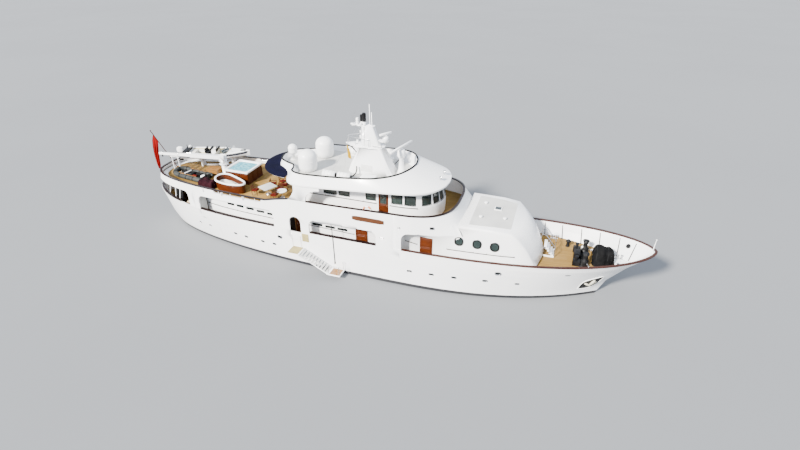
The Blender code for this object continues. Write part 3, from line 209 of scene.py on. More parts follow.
def new_finish(name, colour, roughness, **constants):
    """A material with plain values; a _ in the name of a constant stands for a space."""
    made = bpy.data.materials.new(name)
    made.use_nodes = True
    made.diffuse_color = (*colour, 1.0)
    tree = made.node_tree
    shader = tree.nodes["Principled BSDF"]
    shader.inputs["Base Color"].default_value = (*colour, 1.0)
    shader.inputs["Roughness"].default_value = roughness
    for label, value in constants.items():
        shader.inputs[label.replace("_", " ")].default_value = value
    finishes[name] = made
    return tree, shader, tree.nodes.new("ShaderNodeTexCoord").outputs["Object"]


def use_group(tree, group, place, **values):
    node = tree.nodes.new("ShaderNodeGroup")
    node.node_tree = group
    tree.links.new(place, node.inputs["Vector"])
    for label, value in values.items():
        node.inputs[label].default_value = value
    return node.outputs


def mixed(tree, mask, low, high):
    """A colour between two, by a mask; each colour is a socket or a triple."""
    node = tree.nodes.new("ShaderNodeMix")
    node.data_type = "RGBA"
    tree.links.new(mask, node.inputs["Factor"])
    ends = [socket for socket in node.inputs if socket.type == "RGBA"]
    for socket, value in zip(ends, (low, high)):
        feed(tree, socket, (*value, 1.0) if isinstance(value, tuple) else value)
    return [socket for socket in node.outputs if socket.type == "RGBA"][0]


def dress(tree, shader, colour, gloss, height, distance, strength=0.5):
    """Links what changes over a surface: its colour, its roughness and its relief."""
    bump = tree.nodes.new("ShaderNodeBump")
    bump.inputs["Strength"].default_value = strength
    bump.inputs["Distance"].default_value = distance
    tree.links.new(height, bump.inputs["Height"])
    for socket, label in ((colour, "Base Color"), (gloss, "Roughness"), (bump.outputs["Normal"], "Normal")):
        tree.links.new(socket, shader.inputs[label])


def worn(name, colour, faded, roughness, scale=1.2, spread=0.15, distance=0.0004, **constants):
    """Paint, metal, plastic or rubber: a soft change of colour and gloss, and a fine surface."""
    tree, shader, place = new_finish(name, colour, roughness, **constants)
    salt = use_group(tree, SALT, place, Scale=scale)
    gloss = ramp_node(tree, salt["Grit"], 0.3, 0.7, roughness - spread / 2, roughness + spread / 2)
    dress(tree, shader, mixed(tree, salt["Patches"], colour, faded), gloss, salt["Grit"], distance)


def cloth(name, colour, faded, threads=1400.0):
    tree, shader, place = new_finish(name, colour, 0.85, Specular_IOR_Level=0.06)
    weave = use_group(tree, WEAVE, place, Threads=threads)
    tone = mixed(tree, ramp_node(tree, weave["Fade"], 0.35, 0.65), colour, faded)
    gloss = ramp_node(tree, weave["Threads"], -1.0, 1.0, 0.75, 0.92)
    dress(tree, shader, tone, gloss, weave["Threads"], 0.0006, 0.6)


def wood(name, light, dark, coat, roughness, scale=1.2):
    tree, shader, place = new_finish(name, light, roughness, Specular_IOR_Level=0.15, Coat_Weight=coat,
                                     Coat_Roughness=0.08)
    grain = use_group(tree, GRAIN, place, Scale=scale)
    tone = mixed(tree, ramp_node(tree, grain["Figure"], 0.35, 0.65), light, dark)
    gloss = ramp_node(tree, grain["Pores"], 0.3, 0.7, roughness - 0.06, roughness + 0.1)
    dress(tree, shader, tone, gloss, grain["Pores"], 0.0003, 0.35)

# %% [markdown]
# The hull is sprayed white down to a black band at the waterline, and black antifouling covers the bottom. One
# finish sets white and black apart by height, since the real paint is masked off at a level line too.

# %% Paint
BOOT_TOP = 0.29 * SCALE
WHITE = (0.86, 0.86, 0.855)

worn("white_paint", WHITE, (0.80, 0.805, 0.805), 0.26, 0.35, 0.1)
worn("grey_deck_paint", (0.52, 0.52, 0.495), (0.45, 0.45, 0.43), 0.72, 1.3, 0.12, 0.0012)
worn("pale_deck_paint", (0.74, 0.735, 0.71), (0.66, 0.655, 0.63), 0.65, 1.3, 0.12, 0.001)
worn("straw_matting", (0.34, 0.28, 0.11), (0.26, 0.21, 0.085), 0.8, 3.0, 0.2, 0.002)
worn("bottom_paint", (0.012, 0.012, 0.015), (0.03, 0.028, 0.03), 0.6, 2.0)
worn("white_plastic", (0.87, 0.87, 0.86), (0.80, 0.80, 0.79), 0.35, 0.6, 0.12)
worn("cream_gelcoat", (0.60, 0.53, 0.32), (0.48, 0.43, 0.27), 0.4, 1.5, 0.14)
worn("blue_grey_paint", (0.32, 0.38, 0.46), (0.26, 0.31, 0.38), 0.45, 1.5)
worn("dark_gear", (0.003, 0.003, 0.0034), (0.01, 0.01, 0.0105), 0.5, 3.0, Specular_IOR_Level=0.15)
worn("orange_plastic", (0.72, 0.16, 0.03), (0.6, 0.2, 0.08), 0.5, 3.0)


def make_hull_paint():
    tree, shader, place = new_finish("hull_paint", WHITE, 0.24)
    salt = use_group(tree, SALT, place, Scale=0.3)
    white = mixed(tree, salt["Patches"], WHITE, (0.79, 0.795, 0.80))
    streaks = noise_node(tree, stretched(tree, place, (5.0, 5.0, 0.35)), 1.0, 4.0)
    white = mixed(tree, ramp_node(tree, streaks, 0.6, 0.85, 0.0, 0.25), white, (0.55, 0.54, 0.5))
    black = mixed(tree, salt["Patches"], (0.012, 0.012, 0.016), (0.02, 0.02, 0.022))
    above = ramp_node(tree, parted(tree, place)["Z"], BOOT_TOP - 0.002, BOOT_TOP + 0.002)
    grit = math_node(tree, "MULTIPLY", salt["Grit"], 0.02)
    fairing = math_node(tree, "ADD", noise_node(tree, place, 0.8, 1.0), grit)
    gloss = ramp_node(tree, above, 0.0, 1.0, 0.5, 0.24)
    dress(tree, shader, mixed(tree, above, black, white), gloss, fairing, 0.012, 0.35)


make_hull_paint()
print("paints:", sorted(finishes))

# %% [markdown]
# Decks are scrubbed teak with black caulking between the planks. The rails, doors and joinery are varnished
# mahogany, dark and red, with a soft clear coat.

# %% Wood and metal
def make_teak():
    tree, shader, place = new_finish("teak_deck", (0.22, 0.128, 0.038), 0.7, Specular_IOR_Level=0.12)
    planks = use_group(tree, PLANKS, place, Width=0.032, Length=1.1, Seam=0.07)
    board = mixed(tree, planks["Tone"], (0.175, 0.100, 0.022), (0.235, 0.143, 0.038))
    for mask, tone in ((ramp_node(tree, planks["Grain"], 0.35, 0.75, 0.0, 0.45), (0.16, 0.088, 0.028)),
                       (ramp_node(tree, noise_node(tree, place, 0.9), 0.5, 0.75, 0.0, 0.3), (0.25, 0.17, 0.075)),
                       (ramp_node(tree, planks["Seam"], 0.0, 1.0, 0.0, 0.6), (0.08, 0.055, 0.034))):
        board = mixed(tree, mask, board, tone)
    gloss = ramp_node(tree, planks["Grain"], 0.2, 0.8, 0.6, 0.8)
    dress(tree, shader, board, gloss, math_node(tree, "SUBTRACT", planks["Grain"], planks["Seam"]), 0.0008)


make_teak()
wood("varnished_mahogany", (0.070, 0.0135, 0.0012), (0.040, 0.0075, 0.0008), 0.15, 0.45)
wood("dark_rail", (0.010, 0.0032, 0.0022), (0.006, 0.0024, 0.002), 0.2, 0.4)
wood("cap_varnish", (0.038, 0.009, 0.003), (0.02, 0.005, 0.0024), 0.2, 0.4)
wood("name_board_varnish", (0.075, 0.026, 0.009), (0.050, 0.017, 0.006), 0.12, 0.5)
wood("light_varnish", (0.24, 0.115, 0.028), (0.16, 0.07, 0.016), 0.2, 0.45, 1.4)
worn("galvanised", (0.58, 0.55, 0.44), (0.42, 0.40, 0.33), 0.5, 4.0, 0.2, 0.0006)
worn("dark_glass", (0.003, 0.005, 0.005), (0.007, 0.01, 0.01), 0.2, 4.0, Specular_IOR_Level=0.2)
worn("stainless", (0.62, 0.62, 0.63), (0.5, 0.5, 0.51), 0.25, 4.0, 0.16, 0.0002, Metallic=1.0)
worn("bronze", (0.50, 0.35, 0.17), (0.34, 0.27, 0.17), 0.4, 4.0, 0.2, 0.0006, Metallic=0.9)
worn("black_rubber", (0.004, 0.004, 0.004), (0.009, 0.009, 0.0088), 0.6, 5.0, Specular_IOR_Level=0.12)
worn("tube_fabric", (0.018, 0.020, 0.019), (0.034, 0.037, 0.034), 0.55, 2.5, 0.2, 0.0008, Specular_IOR_Level=0.2)

# %% [markdown]
# Canvas and bunting get threads in the bump and a slow fade in colour. Glass is tinted grey-green, and the spa's
# water is pale blue with small ripples.

# %% Cloth, glass and water
cloth("navy_canvas", (0.0012, 0.0012, 0.008), (0.0025, 0.0025, 0.013))
cloth("dark_canvas", (0.0025, 0.0025, 0.0027), (0.006, 0.006, 0.0063))
cloth("maroon_canvas", (0.012, 0.002, 0.004), (0.02, 0.0045, 0.007))
cloth("red_bunting", (0.19, 0.004, 0.003), (0.14, 0.004, 0.006), 2200.0)
cloth("yellow_bunting", (0.44, 0.28, 0.008), (0.36, 0.22, 0.012), 2200.0)
cloth("pale_canvas", (0.74, 0.72, 0.66), (0.64, 0.62, 0.56))
cloth("beige_cushion", (0.62, 0.53, 0.38), (0.52, 0.44, 0.31))
cloth("red_cushion", (0.12, 0.010, 0.006), (0.085, 0.008, 0.006))


def make_glass():
    tree, shader, place = new_finish("tinted_glass", (0.016, 0.03, 0.028), 0.06, Coat_Weight=0.4,
                                     Transmission_Weight=0.35)
    salt = use_group(tree, SALT, place, Scale=2.2)
    tone = mixed(tree, salt["Patches"], (0.008, 0.017, 0.016), (0.02, 0.036, 0.033))
    gloss = ramp_node(tree, salt["Grit"], 0.3, 0.8, 0.03, 0.09)
    dress(tree, shader, tone, gloss, noise_node(tree, place, 1.5, 1.0), 0.002, 0.15)


def make_water():
    tree, shader, place = new_finish("pool_water", (0.12, 0.48, 0.58), 0.05, Transmission_Weight=0.15)
    ripple = noise_node(tree, place, 9.0)
    tone = mixed(tree, ramp_node(tree, ripple, 0.35, 0.7), (0.03, 0.27, 0.36), (0.20, 0.55, 0.60))
    dress(tree, shader, tone, ramp_node(tree, ripple, 0.3, 0.8, 0.03, 0.12), ripple, 0.02, 0.4)


make_glass()
make_water()
print("finishes:", len(finishes))

# %% [markdown]
# ## From solids to smooth pieces
# The frame's meshes are loose triangles. A copy with its corners merged can be shaded smooth up to an angle, so a
# curved side looks curved and a corner stays crisp. The copy then stands for its solid.


def place_piece(name, mesh, finish, body, smooth):
    """Turns a bmesh in model metres into an object that rides on a body."""
    data = bpy.data.meshes.new(name)
    mesh.to_mesh(data)
    mesh.free()
    data.materials.append(finishes[finish])
    data.shade_smooth()
    data.set_sharp_from_angle(angle=math.radians(smooth))
    obj = bpy.data.objects.new(name, data)
    bpy.context.scene.collection.objects.link(obj)
    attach(obj, body)
    return obj


def new_piece(name, mesh, finish, body="yacht", smooth=32.0, place=None):
    """A bmesh in real metres becomes a finished piece."""
    if place is not None:
        mesh.transform(place)
    bmesh.ops.recalc_face_normals(mesh, faces=mesh.faces[:])
    mesh.transform(Matrix.Scale(SCALE, 4))
    return place_piece(name, mesh, finish, body, smooth)


def made_of(name, finish, *steps, **details):
    """A piece from steps such as (block, x0, x1, ...): each shape is added to one mesh."""
    mesh = bmesh.new()
    for shape, *sizes in steps:
        shape(mesh, *sizes)
    return new_piece(name, mesh, finish, **details)


SMOOTHED = [
    # nodes, finish, angle up to which faces are shaded as one
    (["hull"], "hull_paint", 24.0),
    (["bulwark_stern", "bulwark_stbd", "bulwark_port", "bulwark_bow", "shell_stern", "shell_stbd", "shell_port",
      "portuguese_bridge"], "white_paint", 24.0),
    (["top_deck", "wheelhouse", "fore_house", "main_house", "side_wing_stbd", "side_wing_port"], "white_paint", 28.0),
    (["mast", "radar_pedestal", "crane_post"], "white_paint", 30.0),
    (["radome_stbd", "radome_port", "radome_small", "liferafts_stbd", "liferafts_port"], "white_plastic", 40.0),
    (["bridge_rail_aft", "bridge_rail_fore"], "dark_rail", 30.0),
    (["cap_rail_bow"], "cap_varnish", 30.0),
    (["main_deck", "bridge_deck"], "teak_deck", 30.0),
    (["spa_cabinet", "ensign_staff"], "varnished_mahogany", 30.0),
    (["keel", "rudder_stbd", "rudder_port"], "bottom_paint", 30.0),
    (["shaft_stbd", "shaft_port", "propeller_stbd", "propeller_port"], "bronze", 40.0),
    (["anchor_stbd", "anchor_port"], "galvanised", 40.0),
    (["windlass"], "dark_gear", 40.0),
    (["ladder_stage", "ladder_landing", "ladder_flight", "launch_chocks", "crane_head", "crane_boom"],
     "white_paint", 30.0),
    (["radar_scanner_upper", "radar_scanner_lower"], "white_plastic", 35.0),
    (sorted(name for name in nodes if name.endswith(("_door_stbd", "_door_port"))), "varnished_mahogany", 30.0),
]
for group_nodes, finish, angle in SMOOTHED:
    for node in group_nodes:
        mesh = bmesh.new()
        mesh.from_mesh(nodes[node].data)
        bmesh.ops.remove_doubles(mesh, verts=mesh.verts[:], dist=1e-5)
        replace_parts(place_piece(node + "_finished", mesh, finish, nodes[node]["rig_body"], angle), node)
print("smooth copies:", sum(len(row[0]) for row in SMOOTHED))

# %% [markdown]
# ## Building helpers
# Small pieces are swept tubes, turned shapes, bevelled blocks and plates that lie on a surface. Where a piece sits
# on the yacht's skin, a line is cast at the solid, so the piece starts from the real surface.

# %% Shapes
def join_rings(mesh, rings, closed=False):
    """Walls from each ring of corners to the next, capped at the ends or closed; a ring of one corner is a tip."""
    for low, high in zip(rings, rings[1:] + rings[:1] if closed else rings[1:]):
        count = max(len(low), len(high))
        for k in range(count):
            j = (k + 1) % count
            if len(low) == 1:
                mesh.faces.new((low[0], high[j], high[k]))
            elif len(high) == 1:
                mesh.faces.new((low[k], low[j], high[0]))
            else:
                mesh.faces.new((low[k], low[j], high[j], high[k]))
    for ring in () if closed else (rings[0], rings[-1]):
        if len(ring) > 1:
            mesh.faces.new(ring)
    return mesh


def loft(mesh, rows, closed=False):
    """Sections, given as rows of points, joined into one solid."""
    return join_rings(mesh, [[mesh.verts.new(p) for p in row] for row in rows], closed)


def bar(mesh, points, radius, sides=8, closed=False):
    """A round bar swept through the points; radius may be one number or one for each point."""
    points = [Vector(p) for p in points]
    count = len(points)
    radii = radius if isinstance(radius, (list, tuple)) else [radius] * count
    rings = []
    normal = None
    for i, point in enumerate(points):
        before = points[i - 1] if i or closed else point
        after = points[(i + 1) % count] if i < count - 1 or closed else point
        along = (after - before).normalized()
        if normal is None:
            normal = along.cross(up(1))
            if normal.length < 0.2:
                normal = along.cross(Vector((1, 0, 0)))
        normal = (normal - along * normal.dot(along)).normalized()
        across = along.cross(normal)
        ring = []
        for k in range(sides):
            turn = 2 * math.pi * k / sides
            ring.append(mesh.verts.new(point + (normal * math.cos(turn) + across * math.sin(turn)) * radii[i]))
        rings.append(ring)
    return join_rings(mesh, rings, closed)


def block(mesh, x0, x1, y0, y1, z0, z1, bevel=0.0, place=None):
    corners = [Vector((x, y, z)) for z in (z0, z1) for y in (y0, y1) for x in (x0, x1)]
    verts = [mesh.verts.new(place @ c if place else c) for c in corners]
    faces = [mesh.faces.new([verts[i] for i in quad]) for quad in
             ((0, 1, 3, 2), (4, 6, 7, 5), (0, 4, 5, 1), (2, 3, 7, 6), (0, 2, 6, 4), (1, 5, 7, 3))]
    if bevel:
        edges = list({edge for face in faces for edge in face.edges})
        bmesh.ops.bevel(mesh, geom=edges, offset=bevel, segments=2, profile=0.7, affect="EDGES")
    return mesh


def spun(mesh, profile, place, sides=20):
    """A turned shape round the local z axis, from (radius, height) pairs; ends at radius 0 are closed to a point."""
    rings = []
    for radius, height in profile:
        if radius <= 1e-6:
            rings.append([mesh.verts.new(place @ Vector((0, 0, height)))])
            continue
        rings.append([mesh.verts.new(place @ Vector((radius * math.cos(2 * math.pi * k / sides),
                                                     radius * math.sin(2 * math.pi * k / sides), height)))
                      for k in range(sides)])
    return join_rings(mesh, rings)


def at(x, y, z):
    return Matrix.Translation((x, y, z))


def turned(x, y, z, degrees, axis="Z"):
    """A place turned about one of its own axes."""
    return at(x, y, z) @ Matrix.Rotation(math.radians(degrees), 4, axis)


def up(height):
    return Vector((0, 0, height))


def polar(degrees, radius):
    """The x and y of a place on a circle."""
    turn = math.radians(degrees)
    return radius * math.cos(turn), radius * math.sin(turn)


def facing(point, normal, up=(0, 0, 1)):
    """A place whose local z leaves the surface and whose local y is up along it."""
    z = Vector(normal).normalized()
    x = Vector(up).cross(z).normalized()
    y = z.cross(x)
    turn = Matrix((x, y, z)).transposed().to_4x4()
    return Matrix.Translation(point) @ turn


def plate(mesh, outline, low, high, place):
    """A flat plate from an outline in its own x and y, between two heights off the surface."""
    return loft(mesh, [[place @ Vector((x, y, z)) for x, y in outline] for z in (low, high)])


def rounded(width, height, radius, steps=5, centre=(0.0, 0.0)):
    """An upright oblong with round corners."""
    points = []
    for cx, cy, start in ((1, 1, 0), (-1, 1, 90), (-1, -1, 180), (1, -1, 270)):
        for i in range(steps + 1):
            x, y = polar(start + 90 * i / steps, radius)
            points.append((centre[0] + cx * (width / 2 - radius) + x, centre[1] + cy * (height / 2 - radius) + y))
    return points


def frame_ring(mesh, outline, radius, lift, place):
    """A round moulding that runs along an outline, a little off the surface."""
    return bar(mesh, [place @ Vector((x, y, lift)) for x, y in outline], radius, 6, closed=True)


WORD = {-1: "stbd", 1: "port"}  # how a side is named in the solids
CLEAR = 9.0  # where casts start: outboard of the hull, and above the lower decks
trees = {}


def touch(node, start, heading):
    """Where a line first meets a node, and the normal there, in real metres."""
    if node not in trees:
        data = nodes[node].data
        trees[node] = BVHTree.FromPolygons([v.co / SCALE for v in data.vertices],
                                           [tuple(p.vertices) for p in data.polygons])
    spot, normal, _, _ = trees[node].ray_cast(Vector(start), Vector(heading).normalized())
    return spot, normal


def from_side(node, x, z, side):
    """The place on a node's outer side at one x and height, or None; side is -1 to starboard and 1 to port."""
    return touch(node, (x, side * CLEAR, z), (0, -side, 0))


def from_above(node, x, y, start=CLEAR):
    """The place on a node's upper side, or None."""
    return touch(node, (x, y, start), (0, 0, -1))[0]


def on_side(node, x, z, side):
    """As from_side, where the node is sure to be met."""
    spot, normal = from_side(node, x, z, side)
    if spot is None:
        raise ValueError("nothing of %s at x %.2f, z %.2f" % (node, x, z))
    return spot, normal


print("surfaces can be found on", len(nodes), "solids")

# %% [markdown]
# Outlines that curve in plan, such as a coaming or the wheelhouse wall, are given by a few points and read as one
# smooth line, in the same way as the solids were made.

# %% Smooth lines
def smooth_line(controls, count):
    points = [Vector(p) for p in controls]
    ends = [points[0] * 2 - points[1]] + points + [points[-1] * 2 - points[-2]]
    fine = []
    for a, b, c, d in zip(ends, ends[1:], ends[2:], ends[3:]):
        for i in range(12):
            t = i / 12
            fine.append(0.5 * (2 * b + (c - a) * t + (2 * a - 5 * b + 4 * c - d) * t * t
                               + (3 * b - a - 3 * c + d) * t ** 3))
    fine.append(points[-1])
    reach = [0.0]
    for a, b in zip(fine, fine[1:]):
        reach.append(reach[-1] + (b - a).length)
    read, k = [], 0
    for i in range(count):
        wanted = reach[-1] * i / (count - 1)
        while k < len(reach) - 2 and reach[k + 1] < wanted:
            k += 1
        part = (wanted - reach[k]) / max(reach[k + 1] - reach[k], 1e-9)
        read.append(fine[k].lerp(fine[k + 1], part))
    return read


def both_sides(half):
    """A half line from stern to bow on starboard, closed round the port side."""
    return half + [Vector((p.x, -p.y, p.z)) for p in reversed(half[1:-1])]


def offset_in_plan(line, amount):
    """A line moved sideways in plan, to the left of its run when amount is positive."""
    moved = []
    for i, point in enumerate(line):
        along = (line[min(i + 1, len(line) - 1)] - line[max(i - 1, 0)])
        along = Vector((along.x, along.y)).normalized()
        moved.append(Vector((point.x - along.y * amount, point.y + along.x * amount, point.z)))
    return moved


def sheer(x):
    """Height of the bulwark's top."""
    if x > 2.0:
        return 3.38 + 1.22 * ((x - 2.0) / 20.0) ** 2
    if x < -2.0:
        return 3.38 + 0.24 * ((-2.0 - x) / 20.5) ** 2
    return 3.38


def deck(x):
    """Height of the main deck's planks."""
    return 0.71 * sheer(x) + 0.05


BRIDGE_DECK, TOP_DECK = 5.256, 7.905
print("main deck at midships:", round(deck(0.0), 2))

# %% [markdown]
# ## Repeats by Geometry Nodes
# Posts under a handrail stand at even steps along it, and a chain is one link turned by a quarter at each step. Two
# node trees do this for any line, and their result is kept as a plain mesh.

# %% Node trees for repeats
def repeat_tree(name, sizes, made, links):
    """A tree that stands a shape along a line. Each link says node.output > node.input."""
    tree = bpy.data.node_groups.new(name, "GeometryNodeTree")
    for label, kind in (("Line", "Geometry"), *((size, "Float") for size in sizes), ("Finish", "Material")):
        tree.interface.new_socket(label, in_out="INPUT", socket_type="NodeSocket" + kind)
    tree.interface.new_socket("Pieces", in_out="OUTPUT", socket_type="NodeSocketGeometry")
    made = {"given": "NodeGroupInput", "out": "NodeGroupOutput", "line": "GeometryNodeMeshToCurve",
            "steps": "GeometryNodeResampleCurve", "stand": "GeometryNodeInstanceOnPoints",
            "real": "GeometryNodeRealizeInstances", "paint": "GeometryNodeSetMaterial", **made}
    made = {label: tree.nodes.new(kind) for label, kind in made.items()}
    made["steps"].mode = "LENGTH"
    shared = ["given.Line > line.Mesh", "line.Curve > steps.Curve", "steps.Curve > stand.Points",
              "stand.Instances > real.Geometry", "real.Geometry > paint.Geometry", "given.Finish > paint.Material",
              "paint.Geometry > out.Pieces"]
    for link in shared + links:
        (source, output), (target, label) = (end.split(".") for end in link.split(" > "))
        tree.links.new(made[source].outputs[output], made[target].inputs[label])
    return tree, made


POSTS, made = repeat_tree(
    "posts_under_a_rail", ["Spacing", "Radius", "Height"],
    {"post": "GeometryNodeMeshCylinder", "drop": "GeometryNodeTransform", "shift": "ShaderNodeCombineXYZ",
     "half": "ShaderNodeMath"},
    ["given.Spacing > steps.Length", "given.Radius > post.Radius", "given.Height > post.Depth",
     "given.Height > half.Value", "half.Value > shift.Z", "post.Mesh > drop.Geometry",
     "shift.Vector > drop.Translation", "drop.Geometry > stand.Instance"])
made["post"].inputs["Vertices"].default_value = 8
made["half"].operation = "MULTIPLY"
made["half"].inputs[1].default_value = -0.5

CHAIN, made = repeat_tree(
    "chain_along_a_line", ["Pitch", "Wire"],
    {"ring": "GeometryNodeCurvePrimitiveCircle", "wire": "GeometryNodeCurvePrimitiveCircle",
     "grow": "ShaderNodeMath", "sweep": "GeometryNodeCurveToMesh", "long": "GeometryNodeTransform",
     "tangent": "GeometryNodeInputTangent", "turn": "FunctionNodeAlignRotationToVector",
     "index": "GeometryNodeInputIndex", "quarter": "ShaderNodeMath", "roll": "FunctionNodeAxisAngleToRotation",
     "both": "FunctionNodeRotateRotation"},
    ["given.Pitch > steps.Length", "given.Pitch > grow.Value", "grow.Value > ring.Radius",
     "given.Wire > wire.Radius", "ring.Curve > sweep.Curve", "wire.Curve > sweep.Profile Curve",
     "sweep.Mesh > long.Geometry", "tangent.Tangent > turn.Vector", "index.Index > quarter.Value",
     "quarter.Value > roll.Angle", "turn.Rotation > both.Rotation", "roll.Rotation > both.Rotate By",
     "long.Geometry > stand.Instance", "both.Rotation > stand.Rotation"])
for label, value in (("ring", 12), ("wire", 6)):
    made[label].inputs["Resolution"].default_value = value
for label, value in (("grow", 0.42), ("quarter", math.pi / 2)):
    made[label].operation = "MULTIPLY"
    made[label].inputs[1].default_value = value
made["long"].inputs["Scale"].default_value = (1.6, 1.0, 1.0)
made["turn"].axis = "X"
made["roll"].inputs["Axis"].default_value = (1.0, 0.0, 0.0)
made["both"].rotation_space = "LOCAL"


def repeated(name, tree, lines, finish, **sizes):
    """Runs a node tree on lines in real metres and keeps its plain mesh; sizes are in real metres too."""
    guide = bmesh.new()
    for line in lines:
        verts = [guide.verts.new(Vector(p) * SCALE) for p in line]
        for a, b in zip(verts, verts[1:]):
            guide.edges.new((a, b))
    data = bpy.data.meshes.new(name + "_line")
    guide.to_mesh(data)
    guide.free()
    host = bpy.data.objects.new(name + "_line", data)
    bpy.context.scene.collection.objects.link(host)
    modifier = host.modifiers.new("repeat", "NODES")
    modifier.node_group = tree
    for socket in tree.interface.items_tree:
        if socket.in_out == "INPUT" and socket.name in sizes:
            modifier[socket.identifier] = sizes[socket.name] * SCALE
        if socket.in_out == "INPUT" and socket.name == "Finish":
            modifier[socket.identifier] = finishes[finish]
    shown = host.evaluated_get(bpy.context.evaluated_depsgraph_get())
    mesh = bmesh.new()
    mesh.from_mesh(bpy.data.meshes.new_from_object(shown))
    bpy.data.objects.remove(host)
    print(name, "has", len(mesh.faces), "faces")
    return place_piece(name, mesh, finish, "yacht", 40.0)

# %% [markdown]
# ## Wheelhouse windows
# The wheelhouse wall curves round its front and leans aft, so each pane follows the wall's own line at its sill and
# at its head. The glass sits inside the wall's thickness, and a black gasket seals its edge.

# %% Wheelhouse glass
WHEELHOUSE = [
    (-7.0, 0.0), (-6.97, -1.0), (-6.8, -1.8), (-6.2, -2.3), (-5.2, -2.42), (-4.0, -2.42), (-1.0, -2.42),
    (2.2, -2.42), (3.8, -2.36), (4.8, -2.05), (5.55, -1.4), (5.95, -0.7), (6.05, 0.0),
]
WINDOWS = [
    # middle x, middle y, turn in degrees, width
    (-2.925, -2.42, 0.0, 1.15), (-1.675, -2.42, 0.0, 0.95), (0.625, -2.42, 0.0, 0.85), (2.8, -2.42, 0.0, 0.9),
    (3.86, -2.36, 6.0, 0.88), (5.06, -1.85, 38.0, 0.76), (5.68, -1.18, 57.0, 0.62), (5.97, -0.44, 78.0, 0.62),
]
SILL, HEAD, ROOF_Z, LEAN = 6.45, 7.28, 7.75, 0.35


def wall_line(z, inset=0.0):
    lean = LEAN * max(0.0, z - 6.3) / (ROOF_Z - 6.3)
    points = [Vector((x - lean * max(0.0, x - 2.2) / 3.85, y, 0.0)) for x, y in WHEELHOUSE]
    line = offset_in_plan(smooth_line(points, 67), inset)
    return [Vector((p.x, p.y, z)) for p in line]


def across_window(z, window, inset, grow=0.0):
    """Six points on the wall from one edge of a window to the other."""
    x, y, turn, width = window
    along = Vector((math.cos(math.radians(turn)), math.sin(math.radians(turn))))
    line = [p for p in wall_line(z, inset) if (Vector((p.x - x, p.y - y))).length < width / 2 + 0.45]
    reach = [Vector((p.x - x, p.y - y)).dot(along) for p in line]
    points = []
    for part in (-1.0, -0.6, -0.2, 0.2, 0.6, 1.0):
        wanted = (width / 2 + grow) * part
        for a, b, low, high in zip(line, line[1:], reach, reach[1:]):
            if low <= wanted <= high:
                points.append(a.lerp(b, (wanted - low) / (high - low)))
                break
    return points


def flipped(points):
    return [Vector((p.x, -p.y, p.z)) for p in points]


glass, gasket = bmesh.new(), bmesh.new()
for window in WINDOWS:
    corners = ((SILL - 0.03, 0.05), (HEAD + 0.03, 0.05), (HEAD + 0.03, 0.075), (SILL - 0.03, 0.075))
    rows = list(zip(*(across_window(z, window, inset, 0.03) for z, inset in corners)))
    edge = across_window(SILL, window, 0.0) + across_window(HEAD, window, 0.0)[::-1]
    for turn in (lambda points: points, flipped):
        loft(glass, [turn(row) for row in rows])
        bar(gasket, turn(edge), 0.022, 6, closed=True)
new_piece("wheelhouse_glass", glass, "tinted_glass")
new_piece("window_gaskets", gasket, "black_rubber")
print("wheelhouse panes:", 2 * len(WINDOWS))

# %% [markdown]
# ## Ports and windows in the sides
# Ports in steel plating are round or oblong rings with thick glass behind. Each one is laid on the skin where the
# photograph shows it, and again on the side that it doesn't show.

# %% Ports
ring_mesh, pane_mesh, dark_ring, slots = bmesh.new(), bmesh.new(), bmesh.new(), bmesh.new()


def port(node, x, z, width, height, side, radius=0.02, lift=0.01, corner=None):
    spot, normal = on_side(node, x, z, side)
    place = facing(spot, normal)
    outline = rounded(width, height, corner if corner is not None else min(width, height) * 0.49)
    plate(pane_mesh if height > 0.35 else slots, outline, -0.01, lift, place)
    frame_ring(ring_mesh, outline, radius, lift, place)


HULL_PORTS = [
    # x, z, width, height
    (4.38, 1.55, 0.40, 0.20), (6.17, 1.62, 0.40, 0.20), (7.96, 1.68, 0.40, 0.20), (10.34, 1.8, 0.40, 0.2),
    (12.7, 1.8, 0.34, 0.18), (-16.25, 1.67, 0.26, 0.2), (-14.99, 1.7, 0.26, 0.2), (-12.02, 1.65, 0.34, 0.2),
    (-10.85, 1.6, 0.34, 0.2), (-9.11, 1.53, 0.34, 0.2), (-7.92, 1.53, 0.34, 0.2),
]
HOUSE_WINDOWS = [
    # aft x, fore x, middle z
    (-12.95, -12.2, 4.12), (-11.95, -11.2, 4.1), (-10.95, -10.15, 4.05), (-9.9, -9.1, 3.97), (-8.85, -8.05, 3.9),
    (-4.5, -3.55, 3.71), (-3.32, -2.42, 3.68), (-2.2, -1.28, 3.66),
]
for side in (-1, 1):
    for x, z, width, height in HULL_PORTS:
        port("hull", x, z, width, height, side)
    port("bulwark_bow", 11.25, 2.72, 0.46, 0.3, side, 0.04)
    port("bulwark_bow", 16.15, 3.13, 0.42, 0.1, side, 0.014)
    port("bulwark_" + WORD[side], -7.21, 2.42, 0.4, 0.3, side, 0.035)
    port("shell_" + WORD[side], 2.1, 4.17, 0.34, 0.1, side, 0.014)
    for x in (8.0, 9.38, 10.7):
        port("fore_house", x, 4.5, 0.70, 0.82, side, 0.02, 0.012, 0.34)
        spot, normal = on_side("fore_house", x, 4.5, side)
        frame_ring(dark_ring, rounded(0.60, 0.72, 0.29), 0.05, 0.012, facing(spot, normal))
    for aft, fore, middle in HOUSE_WINDOWS:
        spot, normal = on_side("main_house", (aft + fore) / 2, middle, side)
        plate(slots, rounded(fore - aft, 0.22, 0.09), -0.01, 0.015, facing(spot, normal))
new_piece("port_rings", ring_mesh, "stainless")
new_piece("fore_port_frames", dark_ring, "dark_gear")
new_piece("port_glass", pane_mesh, "tinted_glass")
new_piece("house_slots", slots, "dark_glass")
print("ports:", 2 * (len(HULL_PORTS) + 4 + 3 + len(HOUSE_WINDOWS)))

